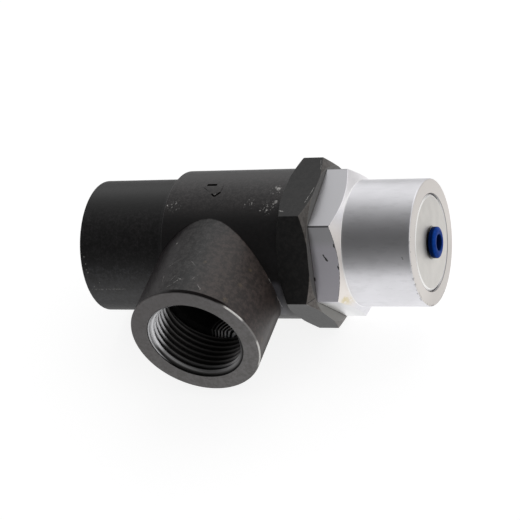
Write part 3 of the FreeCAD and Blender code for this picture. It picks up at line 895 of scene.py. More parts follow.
    def bare_marks(self):
        """Light marks where the black skin is nicked through."""
        ramp = self.ramp
        specks = self.spots(self.at, SPECK_GROUPS, 0.5) * ramp(self.speck, 0.58, 0.68)
        broken = ramp(self.noise(self.at, 3.4, 2.0, 0.6), 0.42, 0.52)
        dots = self.spots(self.ragged, BARE_DOTS, 0.5) * broken * ramp(self.x, 4.0, 8.0, 0.5, 1.0)
        lines = self.scratches(self.ragged, BARE_LINES)
        scuff = self.scratch(self.ragged, SPIGOT_SCUFF) * ramp(self.speck, 0.4, 0.6)
        return dots.highest(specks * 0.6, lines * 0.65, scuff * 0.30)

    def rim_wear_and_highlight(self):
        """Worn edge along the cap's side of the boss's rim, painted near white as a highlight."""
        turn = self.boss_turn
        strong = self.band(turn, 47.0, 62.0, 5.0).highest(self.band(turn, 92.0, 116.0, 6.0))
        worn = strong.highest(self.band(turn, 47.0, 125.0, 12.0) * 0.16)
        return worn * self.rim * self.ramp(self.grain, 0.35, 0.5, 0.8, 1.0)

    def painted_passage_reflection(self):
        """Painted reflection of the thread's ridges: fine bright rings low on the passage behind
        the outlet's thread.
        """
        # The rings lie round one slanting line, and these are a place's two distances from it
        sideways = self.x + 0.334 * self.y - 34.96
        upwards = 0.046 * self.x - 0.759 * self.y - 21.28
        out = (sideways * sideways + upwards * upwards) ** 0.5
        first, spacing = 1.50, 0.827
        rings = ((out - first) * (TURN / spacing) + math.pi / 2).sine()
        rings = self.ramp(rings, -0.1, 0.5) * self.ramp(out, 8.0, 3.5)
        return rings * self.ramp(self.y, -24.6, -24.2) * self.in_outlet

    def finished(self):
        """The whole skin."""
        ramp, y, z = self.ramp, self.y, self.z
        on_boss, on_spigot, on_hexagon = self.on_boss, self.on_spigot, self.on_hexagon
        # Worn rim edge with a painted highlight
        worn = self.rim_wear_and_highlight()
        # Painted reflection of the thread in the outlet passage
        rings = self.painted_passage_reflection()
        # Painted shade, near black, in the bores and inside the body
        painted_shade_in_bores = self.in_outlet.highest(self.inside)
        # Painted highlight: a bluish grey strip on the body beside the boss
        highlight_strip = self.scratch(self.at, HIGHLIGHT_BY_BOSS, 0.6)
        faint = self.scratches(self.ragged, FAINT_LINES, 0.9)
        bare = self.colours.bare
        base = self.layered(
            self.body_colour(),
            (on_spigot, self.spigot_colour()),
            (on_hexagon, self.hexagon_colour()),
            (highlight_strip * (1 - on_boss) * 0.9, Tone.between),
            (on_boss, self.boss_colour()),
            *self.hexagon_ends(),
            (self.faced, self.face_colour()),
            (painted_shade_in_bores, Tone.bore),
            (self.engraved, Tone.engraving),
            (self.under_rim, Tone.rim_shadow),
            (self.bare_marks(), bare),
            (faint * self.speckled * 0.40, bare),
            (self.scratch(self.ragged, BEVEL_LINE) * 0.85, Tone.dark_line),
            (worn, Tone.rim_wear_and_painted_highlight),
            (rings, Tone.painted_reflection_ring),
        )

        # Duller low on the boss and on the spigot's sides, and next to black in bores and engraving
        sides = self.gathered([
            on_boss * ramp(z, -3.0, -9.0),
            on_spigot * ramp(z, -1.0, -6.0, 0.0, 0.3),
            on_spigot * ramp(y, 0.0, 8.0, 0.0, 0.2),
        ])
        rough = 0.42 + 0.12 * (self.grain - 0.5) + 0.12 * (self.mottle - 0.5) + self.faced * 0.03
        rough = rough.highest(painted_shade_in_bores.highest(self.engraved) * 0.95 - rings * 0.5) + sides * 0.33
        dull = self.gathered([
            worn * 0.15,
            self.under_rim * 0.95,
            self.engraved * 0.9,
            on_spigot * ramp(z, -2.0, -8.0, 0.0, 0.5),
            on_spigot * ramp(y, 2.0, 8.0, 0.0, 0.4),
            on_hexagon * ramp(z, -2.0, -4.0, 0.0, 0.14),
            on_boss * ramp(self.boss_x, 3.0, -4.5, 0.0, 0.78) * ramp(z, 10.0, 16.5, 0.3, 1.0),
        ])
        return self.surface(
            Base_Color=base, Roughness=rough, Specular_IOR_Level=0.42, Metallic=dull,
            Normal=self.bump(self.marks * 0.4 + self.grain * 0.6, 0.045, 0.8),
        )


def thread_finish(name, ports, middle, axis, mouth_at):
    """Thread ridges: painted highlights near the mouth and on the lit side, dull further in, and
    painted shade, near black, at the roots.
    """
    finish = Finish(name)
    ramp = finish.ramp
    place = finish.place()
    x, y, z = finish.split(place)
    across = x - middle if axis == "Y" else y
    depth = (y if axis == "Y" else x) - mouth_at
    out = (across * across + z * z) ** 0.5
    grain = finish.noise(place, 4.0, 3.0, 0.6)
    major = ports.major_diameter / 2 / MM
    mouth = ports.mouth_diameter / 2 / MM
    land = ramp(abs(out + depth - mouth), 0.10, 0.04)
    lit_side = ramp(across, 2.0, -4.0)
    ridge = ramp(out + 0.15 * (grain - 0.5), major - 0.10, major - 0.45)
    crest = ramp(out + 0.10 * (grain - 0.5), major - 0.40, major - 0.75)
    # Painted highlights: crests near the mouth, crests and the filled first ridge on the lit side,
    # and the lit side of the mouth's land
    near = ramp(depth, 3.4, 2.2) * 0.24
    upper = ramp(z - depth * 0.45, -7.5, -2.0) * lit_side * ramp(depth, 13.0, 9.5)
    filled = lit_side * ramp(z, -4.5, -1.0) * ramp(depth, 1.8, 1.3)
    on_land = land * lit_side * ramp(z, -9.0, -3.0)
    bright = (crest * near.highest(upper)).highest(filled * 0.55, on_land * 0.6)
    # Flanks in painted shade, with painted light towards one side across the mouth
    flank = finish.mixed(ramp(across, 0.0, 9.0), Tone.thread_shadow, Tone.thread_flank_painted_light)
    return finish.surface(
        # Painted shade, near black, at the roots, and painted highlights on the crests
        Base_Color=finish.layered(Tone.thread_root_painted_shade, (ridge, flank), (bright, Tone.thread_painted_highlight)),
        Roughness=0.32 + 0.12 * grain, Metallic=0.95 * ridge.highest(land) - 0.45 * bright,
        Specular_IOR_Level=0.3, Normal=finish.bump(grain, 0.01, 0.4),
    )


def cap_finish(colours, sizes, cone_end):
    """Clear anodised cap: duller flats with painted shade on the top one and painted light on the
    low ones, painted highlights on the cone, thin dark edges, a warm faced end with painted shade
    low down, nicks and a stain.
    """
    finish = Finish("satin_cap")
    ramp, band = finish.ramp, finish.band
    place = finish.place()
    ragged = finish.wandering(place, 1.4, 0.3)
    x, y, z, out = finish.parts(place)
    around = (0.0 - y).turn_from(z)
    marks = finish.turning_marks(x, out, 3.5)
    grain = finish.noise(place, 6.0, 3.0, 0.65)
    cloud = finish.noise(place, 0.12, 2.0, 0.5)
    broken = finish.noise(place, 0.9, 4.0, 0.7)
    smudges = finish.noise(finish.vector("MULTIPLY", place, (0.18, 0.6, 0.6)), 1.0, 4.0, 0.7)

    cap = InMillimetres(sizes)
    cone_end = cone_end / MM
    end = cap.overall_length
    barrel = cap.barrel_diameter / 2
    corner = cap.hex_across_flats / 2 / math.cos(THIRTY)
    from_cone = barrel + (cone_end - x) / math.tan(THIRTY) - out
    flat = ramp(from_cone, 0.05, 0.15) * ramp(x, cone_end, cone_end - 0.1)
    low_flat = flat * ramp(z, -3.0, -5.0) * ramp(y, 4.0, -2.0)
    on_cone = ramp(abs(from_cone), 0.06, 0.02) * ramp(x, cone_end + 0.05, cone_end - 0.05)
    end_face = ramp(x, end - 0.12, end - 0.04)
    satin = tuple(colours.satin)
    base = finish.layered(
        satin,
        (ramp(cloud, 0.35, 0.65), toned(satin, 0.94)),
        (ramp(smudges, 0.50, 0.66, 0.0, 0.5) * ramp(y, 6.0, -3.0, 0.25, 1.0), toned(satin, 0.84)),
        (flat * ramp(z, -3.0, -1.6) * ramp(broken, 0.2, 0.7, 1.0, 0.85), Tone.cap_flat),
        # Painted shade on the top flat
        (flat * ramp(z, 11.0, 14.0), toned(satin, 0.73)),
        # Painted light on the low flats, strongest by the hexagon
        (low_flat, Tone.cap_low_flat_painted_light),
        (low_flat * ramp(x, 74.0, 71.0), Tone.cap_low_end_painted_light),
        (on_cone * band(around, 45.0, 100.0, 25.0), Tone.cap_warm),
        # Painted highlight along the top of the cone
        (on_cone * band(around, -50.0, 12.0, 15.0), Tone.cap_cone_painted_highlight),
        # The faced end darker low down, as painted shade
        (end_face, finish.mixed(ramp(z, -4.0, -13.0), colours.faced, toned(colours.faced, 0.84))),
        # Painted highlight in a thin line where the cone meets the barrel
        (band(x, cone_end, cone_end + 0.2, 0.1), Tone.cap_cone_end_painted_highlight),
    )

    corners = ramp(out, corner - 0.17, corner - 0.09) * flat
    corners = corners * ramp(abs(around - 35.0), 60.0, 30.0, 0.35, 1.0)
    cone_edge = band(from_cone, 0.06, 0.26, 0.03) * band(x, 69.2, 76.9, 0.1)
    cone_edge = cone_edge * band(around, 34.0, 93.0, 2.0) * ramp(broken, 0.38, 0.52)
    rim_specks = ramp(out, barrel - 0.9, barrel - 0.4) * ramp(x, end - 0.6, end - 0.3)
    rim_specks = rim_specks * ramp(around, 20.0, 45.0) * ramp(broken, 0.54, 0.60)
    gap_edge = ramp(out, 13.22, 13.08) * end_face
    seam = low_flat * ramp(x, 69.22, 69.08)
    dark = finish.gathered([
        corners * 0.85, cone_edge * 0.7, finish.scratches(ragged, CAP_NICKS), gap_edge * 0.8,
        seam * 0.8, finish.scratch(ragged, BARREL_NICK) * 0.55, rim_specks * 0.4,
    ])
    stain = finish.scratch(ragged, CAP_STAIN, 0.6) * ramp(broken, 0.37, 0.55)
    return finish.surface(
        Base_Color=finish.layered(base, (dark, Tone.cap_dark), (stain * 0.8, Tone.cap_stain)),
        Roughness=0.36 + 0.06 * (grain - 0.5) + 0.05 * (marks - 0.5) + end_face * 0.12,
        Metallic=1.0, Normal=finish.bump(marks * 0.6 + grain * 0.4, 0.006),
    )


def plug_finish(colours, sizes):
    """Matte anodised plug with a brighter edge and faint facing marks."""
    finish = Finish("plug_skin")
    place = finish.place()
    x, _, _, out = finish.parts(place)
    marks = finish.turning_marks(x, out, 3.0)
    grain = finish.noise(place, 6.0, 3.0, 0.65)
    cloud = finish.noise(place, 0.25, 3.0, 0.6)
    cap = InMillimetres(sizes)
    edge = cap.opening / 2 - cap.plug_gap - cap.plug_edge
    end = cap.overall_length
    on_edge = finish.ramp(out, edge - 0.12, edge + 0.02) * finish.ramp(x, end - 0.7, end - 0.5)
    base = finish.layered(
        colours.plug,
        (finish.ramp(cloud, 0.35, 0.65), toned(colours.plug, 0.94)),
        (on_edge, Tone.plug_edge),
    )
    return finish.surface(
        Base_Color=base,
        Roughness=0.50 + 0.06 * (grain - 0.5) + 0.05 * (marks - 0.5) - on_edge * 0.15,
        Metallic=1.0, Normal=finish.bump(marks * 0.3 + grain * 0.7, 0.003),
    )


def release_finish(colours, front):
    """Moulded blue plastic, its front face lit and its sides and bore a darker copy of the blue, as
    painted shade.
    """
    finish = Finish("blue_moulding")
    place = finish.place()
    x, _, _, out = finish.parts(place)
    grain = finish.noise(place, 5.0, 4.0, 0.65)
    cloud = finish.noise(place, 0.9, 3.0, 0.6)
    # Painted shade: all but the front face takes a darker copy of the blue
    facing = finish.ramp(x, front - 0.85, front - 0.25) * finish.ramp(out, 2.1, 2.4)
    blue = tuple(colours.blue)
    shade = finish.mixed(finish.ramp(cloud, 0.35, 0.65), blue, toned(blue, 1.3, 0.004))
    return finish.surface(
        Base_Color=finish.mixed(facing, toned(blue, 0.28), shade),
        Roughness=0.35 + 0.12 * (grain - 0.5), Specular_IOR_Level=0.02,
        Normal=finish.bump(grain, 0.01),
    )


def metal_finish(name, shade, roughness, marks_per_mm=2.5, metallic=1.0):
    """Turned metal of the inner pieces."""
    finish = Finish(name)
    place = finish.place()
    x, _, _, out = finish.parts(place)
    marks = finish.turning_marks(x, out, marks_per_mm)
    cloud = finish.noise(place, 0.4, 3.0, 0.6)
    return finish.surface(
        Base_Color=finish.mixed(finish.ramp(cloud, 0.35, 0.7), shade, toned(shade, 0.82)),
        Roughness=roughness + 0.12 * (cloud - 0.5) + 0.06 * (marks - 0.5),
        Metallic=metallic, Normal=finish.bump(marks, 0.008),
    )


def soft_finish(name, shade, roughness, grain_scale, grain_height=0.01):
    """Rubber or plastic with a fine moulded grain, its height in millimetres."""
    finish = Finish(name)
    place = finish.place()
    grain = finish.noise(place, grain_scale, 4.0, 0.65)
    cloud = finish.noise(place, 0.5, 2.0, 0.5)
    return finish.surface(
        Base_Color=finish.mixed(finish.ramp(cloud, 0.35, 0.7), shade, toned(shade, 1.25, 0.004)),
        Roughness=roughness + 0.12 * (grain - 0.5), Normal=finish.bump(grain, grain_height),
    )


def give_finish(piece, finish):
    """Puts one material on a piece."""
    piece.data.materials.clear()
    piece.data.materials.append(finish)


# The pieces

def body_outline(sizes, ports):
    """Outline of the body with all its bores, for the hexagon's reach at one angle."""
    spigot, barrel, hex_face, inlet, chamber, cap_bore = (diameter / 2 for diameter in (
        sizes.spigot_diameter, sizes.body_diameter, sizes.hex_face_diameter,
        sizes.inlet_passage, sizes.chamber, sizes.cap_bore,
    ))
    major = ports.major_diameter / 2
    mouth = ports.mouth_diameter / 2
    shoulder = sizes.spigot_length
    hexagon = sizes.body_length - sizes.hex_thickness
    end = sizes.body_length
    seat = sizes.seat_x
    floor = seat - sizes.seat_height
    cap_floor = end - sizes.cap_bore_depth
    seat_out = inlet + sizes.seat_width
    cone = (major - inlet) / math.tan(ports.cone_angle)
    bevel_round, corner_round = 0.12 * MM, 0.2 * MM

    def outline(reach):
        face = min(hex_face, reach - 0.05 * MM)
        slope = (reach - face) * math.tan(THIRTY)
        return rounded([
            (0, mouth), (0, spigot, sizes.edge), (shoulder, spigot), (shoulder, barrel, sizes.edge),
            (hexagon, barrel), (hexagon, face, bevel_round), (hexagon + slope, reach, corner_round),
            (end - slope, reach, corner_round), (end, face, bevel_round),
            (end, cap_bore), (cap_floor, cap_bore), (cap_floor, chamber), (floor, chamber),
            (floor, seat_out), (seat, seat_out, 0.5 * MM), (seat, inlet, 0.1 * MM),
            (ports.thread_depth + cone, inlet), (ports.thread_depth, major), (mouth - major, major),
        ])

    return outline


def boss_mesh(sizes):
    """Solid boss whose inner end follows the inside of the body's wall."""
    radius = sizes.boss_diameter / 2
    wall = 17.9 * MM
    around = 180
    shape = bmesh.new()
    corners = rounded([(0, 0.7 * radius), (0, radius, sizes.edge), (sizes.boss_reach, radius)])
    face_middle = shape.verts.new((sizes.outlet_x, -sizes.boss_reach, 0))
    inner_middle = shape.verts.new((sizes.outlet_x, -wall, 0))
    rings = []
    for k in range(around):
        side = Vector((math.sin(TURN * k / around), math.cos(TURN * k / around)))
        points = [(out, along - sizes.boss_reach) for along, out in corners[:-1]]
        for share in (1.0, 0.85, 0.7, 0.5, 0.25):
            out = radius * share
            points.append((out, -math.sqrt(max(wall ** 2 - (side.y * out) ** 2, 0.0))))
        rings.append([shape.verts.new((sizes.outlet_x + side.x * out, y, side.y * out))
                      for out, y in points])
    for ring, following in zip(rings, rings[1:] + rings[:1]):
        shape.faces.new((face_middle, ring[0], following[0]))
        shape.faces.new((inner_middle, following[-1], ring[-1]))
        for j in range(len(ring) - 1):
            shape.faces.new((ring[j], ring[j + 1], following[j + 1], following[j]))
    return finished_mesh("boss", shape)


def outlet_bore_mesh(sizes, ports):
    """Space of the outlet from outside its mouth to the chamber."""
    major = ports.major_diameter / 2
    mouth = ports.mouth_diameter / 2
    passage = sizes.outlet_passage / 2
    cone = (major - passage) / math.tan(ports.cone_angle)
    outside, end = -1 * MM, sizes.boss_reach - 6 * MM
    middle = 0.001 * MM
    points = [
        (outside, middle), (outside, mouth), (0, mouth), (mouth - major, major),
        (ports.thread_depth, major), (ports.thread_depth + cone, passage),
        (end, passage), (end, middle),
    ]
    mesh = round_mesh("outlet_bore", points, 168)
    mesh.transform(outlet_place(sizes))
    return mesh


def arrow_strokes(sizes):
    """Tools for the engraved flow arrow on the top of the body."""
    radius = sizes.body_diameter / 2
    top = radius + 0.5 * MM
    deep, shallow = radius - 0.55 * MM, radius - 0.09 * MM
    middling = deep + 0.12 * MM
    tip, elbow = (0.35, -3.0), (-0.8, -2.0)
    strokes = (
        ((-3.2, 1.6), (-0.3, 1.6), 0.85, middling),
        (elbow, tip, 0.45, deep),
        ((-3.9, 0.5), elbow, 0.16, shallow),
        ((1.75, -1.4), tip, 0.55, deep),
        ((1.85, 2.9), (1.75, -1.3), 0.16, shallow),
    )

    def spot(x, y):
        return sizes.outlet_x + x * MM, y * MM

    return [stroke(spot(*start), spot(*end), width * MM, floor, top)
            for start, end, width, floor in strokes]


class ValvePiece:
    """What the operators share."""
    bl_options = {"REGISTER", "UNDO"}


class VALVE_OT_body(ValvePiece, bpy.types.Operator):
    """Make the black body with its spigot, hexagon, boss and bores"""
    bl_idname = "valve.make_body"
    bl_label = "Body"

    def execute(self, context):
        scene = context.scene
        sizes, ports = scene.valve_body, scene.valve_ports
        angles = hexagon_angles(sizes.hex_across_flats, 0.25 * MM)
        barrel = turned_mesh("valve_body_shell", body_outline(sizes, ports), angles)
        solid = combined(barrel, "UNION", [boss_mesh(sizes)])
        cuts = [outlet_bore_mesh(sizes, ports)] + arrow_strokes(sizes)
        solid = combined(solid, "DIFFERENCE", cuts)
        piece = add_piece("body_shell", solid)
        give_finish(piece, BlackSkin(scene.valve_finishes, sizes, ports).finished())
        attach(piece, "root")
        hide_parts("valve_body")
        return {"FINISHED"}


class VALVE_OT_threads(ValvePiece, bpy.types.Operator):
    """Make the pipe thread ridges of both ports"""
    bl_idname = "valve.make_threads"
    bl_label = "Port threads"

    def execute(self, context):
        scene = context.scene
        sizes = scene.valve_body
        outlet_x, outlet_mouth = sizes.outlet_x / MM, -sizes.boss_reach / MM
        places = {
            "outlet_thread": (outlet_place(sizes), outlet_x, "Y", outlet_mouth),
            "inlet_thread": (Matrix.Identity(4), 0.0, "X", 0.0),
        }
        for name, (place, middle, axis, mouth_at) in places.items():
            mesh = thread_mesh(name, scene.valve_ports)
            mesh.transform(place)
            piece = add_piece(name, mesh, crease_degrees=50)
            finish = thread_finish(name + "_skin", scene.valve_ports, middle, axis, mouth_at)
            give_finish(piece, finish)
            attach(piece, "root")
        return {"FINISHED"}


class VALVE_OT_cap(ValvePiece, bpy.types.Operator):
    """Make the silver cap with its hexagon, barrel and screwed shank"""
    bl_idname = "valve.make_cap"
    bl_label = "Cap"

    def execute(self, context):
        scene = context.scene
        sizes, body = scene.valve_cap, scene.valve_body
        seat = body.body_length
        end = sizes.overall_length
        shank = body.cap_bore / 2 - 0.05 * MM
        shank_x = seat - 15.0 * MM
        chamfer = 0.6 * MM
        neck, neck_x = shank - 0.9 * MM, seat - 2.0 * MM
        barrel = sizes.barrel_diameter / 2
        bore, opening = sizes.bore / 2, sizes.opening / 2
        corner = sizes.hex_across_flats / 2 / math.cos(THIRTY)
        cone_end = seat + sizes.hex_length + (corner - barrel) * math.tan(THIRTY)
        lip_x = end - sizes.lip

        def outline(reach):
            cone_x = cone_end - (reach - barrel) * math.tan(THIRTY)
            return rounded([
                (shank_x, bore), (shank_x, shank - chamfer), (shank_x + chamfer, shank),
                *seal_groove(shank_x + 2.0 * MM, shank),
                (neck_x, shank), (neck_x, neck), (seat, neck),
                (seat, reach, 0.12 * MM), (cone_x, reach, 0.15 * MM), (cone_end, barrel),
                (end, barrel, sizes.barrel_edge), (end, opening, 0.12 * MM),
                (lip_x, opening), (lip_x, bore),
            ])

        angles = hexagon_angles(sizes.hex_across_flats, 0.2 * MM, sizes.hex_turn, side_steps=40)
        piece = add_piece("cap_shell", turned_mesh("cap_shell", outline, angles))
        give_finish(piece, cap_finish(scene.valve_finishes, sizes, cone_end))
        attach(piece, "root")
        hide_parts("spring_cap")
        return {"FINISHED"}


class VALVE_OT_plug(ValvePiece, bpy.types.Operator):
    """Make the end plug with its fitting bore"""
    bl_idname = "valve.make_plug"
    bl_label = "End plug"

    def execute(self, context):
        scene = context.scene
        sizes = scene.valve_cap
        end = sizes.overall_length
        flange = sizes.bore / 2 - 0.05 * MM
        nose = sizes.opening / 2 - sizes.plug_gap
        flange_x = end - sizes.lip - 0.03 * MM
        back = end - sizes.lip - 5.0 * MM
        post, post_x = 9.3 * MM, back - 8.0 * MM
        fitting, seal_pocket, tube_hole, vent = sizes.fitting_bore / 2, 3.7 * MM, 2.1 * MM, 1.2 * MM
        pocket_x, tube_x, vent_x = end - 4.76 * MM, end - 7.56 * MM, end - 11.06 * MM
        slight = 0.1 * MM
        points = rounded([
            (post_x, vent), (post_x, post, 0.5 * MM), (back, post), (back, flange, slight),
            *seal_groove(back + 1.2 * MM, flange), (flange_x, flange, slight), (flange_x, nose),
            (end - sizes.plug_edge, nose, slight), (end, nose - sizes.plug_edge, slight),
            (end, fitting, slight), (pocket_x, fitting), (pocket_x, seal_pocket),
            (tube_x, seal_pocket), (tube_x, tube_hole), (vent_x, tube_hole), (vent_x, vent),
        ])
        piece = add_piece("plug_disc", round_mesh("plug_disc", points, 192))
        give_finish(piece, plug_finish(scene.valve_finishes, sizes))
        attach(piece, "root")
        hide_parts("end_plug")
        return {"FINISHED"}


class VALVE_OT_release(ValvePiece, bpy.types.Operator):
    """Make the blue release ring with its split legs"""
    bl_idname = "valve.make_release_ring"
    bl_label = "Release ring"

    def execute(self, context):
        scene = context.scene
        sizes = scene.valve_cap
        low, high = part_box("release_ring")
        bore = sizes.release_bore / 2
        flange = sizes.release_diameter / 2
        neck, hook, tip = 2.8 * MM, 3.25 * MM, bore + 0.3 * MM
        leg = low.x
        hook_x = leg + hook - tip
        hook_end = hook_x + 0.4 * MM
        back = sizes.overall_length + sizes.release_gap
        front = back + sizes.release_thickness
        middle = (back + front) / 2
        dip = 0.2 * MM
        slight = 0.05 * MM
        points = rounded([
            (leg, bore), (leg, tip), (hook_x, hook, slight), (hook_end, hook, slight),
            (hook_end, neck), (back, neck), (back, flange, 0.25 * MM),
            (middle - dip / 2, flange, slight), (middle, flange - dip, slight),
            (middle + dip / 2, flange, slight), (front, flange, 0.35 * MM),
            (high.x, (flange + bore) / 2, 1.5 * MM), (high.x, bore, 0.3 * MM),
        ])
        ring = round_mesh("release_ring", points, 120)
        half_slot = 0.3 * MM
        slots = []
        for turn in (math.pi / 4, -math.pi / 4):
            slot = block(leg - 1 * MM, leg + 3 * MM, -half_slot, half_slot, -flange, flange)
            slot.transform(Matrix.Rotation(turn, 4, "X"))
            slots.append(slot)
        piece = add_piece("release_collet", combined(ring, "DIFFERENCE", slots))
        give_finish(piece, release_finish(scene.valve_finishes, high.x / MM))
        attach(piece, "release")
        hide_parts("release_ring")
        return {"FINISHED"}


class VALVE_OT_springs(ValvePiece, bpy.types.Operator):
    """Make the main spring and the check spring from round wire"""
    bl_idname = "valve.make_springs"
    bl_label = "Springs"

    def execute(self, context):
        finish = metal_finish("oiled_wire", tuple(context.scene.valve_finishes.spring), 0.36)
        main_wire = {"wire": 2.2 * MM, "mean_radius": 10.8 * MM, "coils": 4.3, "end_coils": 0.9}
        check_wire = {"wire": 0.8 * MM, "mean_radius": 4.5 * MM, "coils": 5.0, "end_coils": 0.8}

        # One wire in two halves: the plug's half hangs from the root, and the crown's half stays
        # where it is made
        low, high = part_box("main_spring")
        middle = (low.x + high.x) / 2
        half = high.x - middle
        for side, share in (("crown", (0, 0.5)), ("plug", (0.5, 1))):
            mesh = coil_mesh("main_wire_" + side, low.x, high.x, share=share, **main_wire)
            piece = add_piece("main_coil_" + side, mesh)
            give_finish(piece, finish)
            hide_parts("main_spring")
            if side == "plug":
                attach(piece, "root")
                high.x
                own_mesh(piece)
            else:
                low.x
                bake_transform(piece)

        low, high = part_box("check_spring")
        piece = add_piece("check_coil", coil_mesh("check_spring_wire", low.x, high.x, **check_wire))
        give_finish(piece, finish)
        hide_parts("check_spring")
        low.x
        high.x
        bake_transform(piece)
        return {"FINISHED"}


class VALVE_OT_seals(ValvePiece, bpy.types.Operator):
    """Make the ring seals with their round sides"""
    bl_idname = "valve.make_seals"
    bl_label = "Ring seals"

    def execute(self, context):
        rubber = tuple(context.scene.valve_finishes.rubber)
        finish = soft_finish("seal_rubber_skin", rubber, 0.55, 4.0)
        seals = {
            "cap_seal_ring": ("root", 1.5 * MM), "plug_seal_ring": ("root", 1.5 * MM),
            "tube_seal_ring": ("root", 1.6 * MM), "piston_seal_ring": ("piston", 1.81 * MM),
        }
        for name, (body, thickness) in seals.items():
            low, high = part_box(name)
            outer, inner, half = high.z, high.z - thickness, thickness / 2
            points = rounded([
                (low.x, inner, half), (low.x, outer, half),
                (high.x, outer, half), (high.x, inner, half),
            ], steps=8)
            mesh = round_mesh(name + "_round", points, 128)
            piece = add_piece(name + "_rubber", mesh, crease_degrees=60)
            give_finish(piece, finish)
            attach(piece, body)
            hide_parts(name)
        return {"FINISHED"}


class VALVE_OT_inner(ValvePiece, bpy.types.Operator):
    """Put the finishes on the solids that stay as they are"""
    bl_idname = "valve.finish_inner"
    bl_label = "Inner pieces"

    def execute(self, context):
        colours = context.scene.valve_finishes
        brass = metal_finish("turned_brass", tuple(colours.brass), 0.3)
        steel = metal_finish("bright_steel", tuple(colours.steel), 0.28)
        finishes = {
            "fitting_sleeve": metal_finish("plated_brass", tuple(colours.plated), 0.45),
            "grip_ring": steel,
            "spring_washer": steel,
            "piston": metal_finish("hard_skin", tuple(colours.hard), 0.42, 2.0, 0.8),
            "piston_guide_band": soft_finish("band_plastic", tuple(colours.band), 0.5, 5.0),
            "stem_bush": brass,
            "check_poppet": brass,
            "poppet_seat_disc": soft_finish("disc_rubber", tuple(colours.rubber), 0.6, 3.0, 0.003),
            "seat_disc_washer": steel,
            "seat_disc_screw": steel,
        }
        for name, finish in finishes.items():
            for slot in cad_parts[name].material_slots:
                slot.material = finish
        return {"FINISHED"}


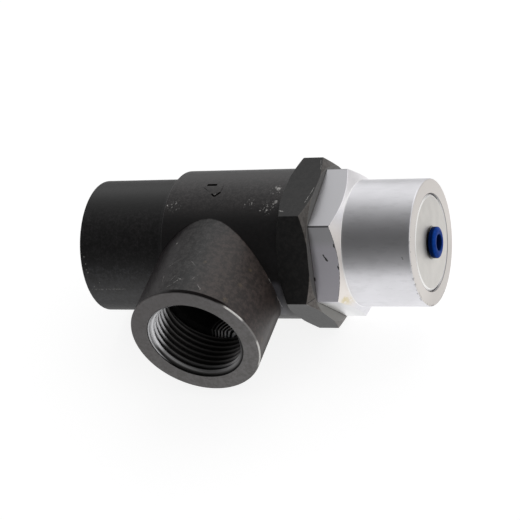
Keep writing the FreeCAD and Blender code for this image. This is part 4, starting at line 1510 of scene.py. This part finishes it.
class VALVE_OT_stage(ValvePiece, bpy.types.Operator):
    """Make the floor, the light and the camera"""
    bl_idname = "valve.make_stage"
    bl_label = "Stage"

    def execute(self, context):
        scene = context.scene
        self.make_floor(scene)
        self.make_world(scene)
        self.make_lamp()
        self.make_camera(scene)
        scene.view_settings.view_transform = "Standard"
        return {"FINISHED"}

    def make_floor(self, scene):
        """Pale floor under the hexagon's flat; it is white to the camera and in reflections."""
        level = -scene.valve_body.hex_across_flats / 2
        shape = bmesh.new()
        bmesh.ops.create_circle(shape, cap_ends=True, segments=96, radius=6.0)
        bmesh.ops.translate(shape, vec=(0.05, 0, level), verts=shape.verts)
        mesh = bpy.data.meshes.new("floor")
        shape.to_mesh(mesh)
        shape.free()
        floor = add_object("floor", mesh)

        finish = Finish("pale_floor")
        path = finish.node("ShaderNodeLightPath").outputs
        direct = finish.level(path["Is Camera Ray"])
        glossy = finish.level(path["Is Glossy Ray"])
        through = finish.level(path["Is Transmission Ray"])
        spot = finish.node("ShaderNodeTexCoord").outputs["Object"]
        away = finish.measure("DISTANCE", spot, (0.06, 0.0, level))
        far = finish.ramp(away, 0.035, 0.25, kind="LINEAR") * (1 - direct)

        def shader(kind, **sockets):
            return finish.node(kind, None, sockets).outputs[0]

        def joined(kind, *inputs):
            return finish.node(kind, None, dict(enumerate(inputs))).outputs[0]

        white, grey, shade = (1.0, 1.0, 1.0), (0.8, 0.8, 0.8), (0.3, 0.3, 0.3)
        glow = shader("ShaderNodeEmission", Color=white, Strength=0.86)
        faint = shader("ShaderNodeEmission", Color=white, Strength=0.22)
        fading = joined("ShaderNodeMixShader", far, glow, faint)
        seen = joined("ShaderNodeAddShader", shader("ShaderNodeBsdfDiffuse", Color=shade), fading)
        plain = shader("ShaderNodeBsdfDiffuse", Color=grey)
        both = joined("ShaderNodeMixShader", direct.highest(glossy, through), plain, seen)
        finish.node("ShaderNodeOutputMaterial", None, {"Surface": both})
        give_finish(floor, finish.material)

    def make_world(self, scene):
        """White all round, falling off softly towards the dark side of the room."""
        dark_side = Vector((-0.343, -0.618, 0.707)).normalized()
        scene.world = bpy.data.worlds.new("studio")
        scene.world.use_nodes = True
        finish = Finish("studio", scene.world.node_tree)
        direction = finish.node("ShaderNodeTexCoord").outputs["Generated"]
        facing = finish.measure("DOT_PRODUCT", direction, dark_side)
        light = finish.ramp(facing, 1.0, 0.0, 0.07, 0.93, kind="LINEAR")
        white = (1.0, 1.0, 1.0)
        glow = finish.node("ShaderNodeBackground", None, {"Color": white, "Strength": light})
        finish.node("ShaderNodeOutputWorld", None, {"Surface": glow.outputs[0]})

    def make_lamp(self):
        """One broad soft lamp above and behind."""
        lamp = bpy.data.lights.new("top_lamp", "AREA")
        lamp.shape = "DISK"
        lamp.size = 1.2
        lamp.energy = 2.0
        place = Vector((0.2, 0.9, 1.3))
        holder = add_object("top_lamp", lamp)
        holder.location = place
        holder.rotation_euler = (-place).to_track_quat("-Z", "Y").to_euler()

    def make_camera(self, scene):
        """Camera at the photograph's viewing angle."""
        view = scene.valve_camera
        data = bpy.data.cameras.new("camera")
        data.sensor_width = 36.0
        data.lens = view.lens
        camera = add_object("camera", data)
        back = Vector((
            math.sin(view.azimuth) * math.cos(view.elevation),
            -math.cos(view.azimuth) * math.cos(view.elevation),
            math.sin(view.elevation),
        ))
        level_right = Vector((math.cos(view.azimuth), math.sin(view.azimuth), 0))
        level_up = back.cross(level_right)
        right = level_right * math.cos(view.roll) + level_up * math.sin(view.roll)
        up = back.cross(right)
        spot = Vector((view.aim_x, view.aim_y, 0)) + back * view.distance
        turned = Matrix((right, up, back)).transposed().to_4x4()
        camera.matrix_world = Matrix.Translation(spot) @ turned
        scene.camera = camera


class VALVE_PT_panel(bpy.types.Panel):
    """Lists the steps that build the valve"""
    bl_idname = "VALVE_PT_panel"
    bl_label = "Minimum Pressure Valve"
    bl_space_type = "VIEW_3D"
    bl_region_type = "UI"
    bl_category = "Valve"

    def draw(self, context):
        for operator in operators:
            self.layout.operator(operator.bl_idname)


groups = {
    "valve_body": ValveBodySizes,
    "valve_ports": ValvePortSizes,
    "valve_cap": ValveCapSizes,
    "valve_finishes": ValveFinishes,
    "valve_camera": ValveCamera,
}

operators = [
    VALVE_OT_body,
    VALVE_OT_threads,
    VALVE_OT_cap,
    VALVE_OT_plug,
    VALVE_OT_release,
    VALVE_OT_springs,
    VALVE_OT_seals,
    VALVE_OT_inner,
    VALVE_OT_stage,
]

classes = [*groups.values(), *operators, VALVE_PT_panel]


def register():
    for kind in classes:
        bpy.utils.register_class(kind)
    for name, group in groups.items():
        setattr(bpy.types.Scene, name, PointerProperty(type=group))


def unregister():
    for name in groups:
        delattr(bpy.types.Scene, name)
    for kind in reversed(classes):
        bpy.utils.unregister_class(kind)


def main():
    register()
    for operator in operators:
        family, name = operator.bl_idname.split(".")
        getattr(getattr(bpy.ops, family), name)()
    bpy.context.view_layer.update()


if __name__ == "__main__":
    main()
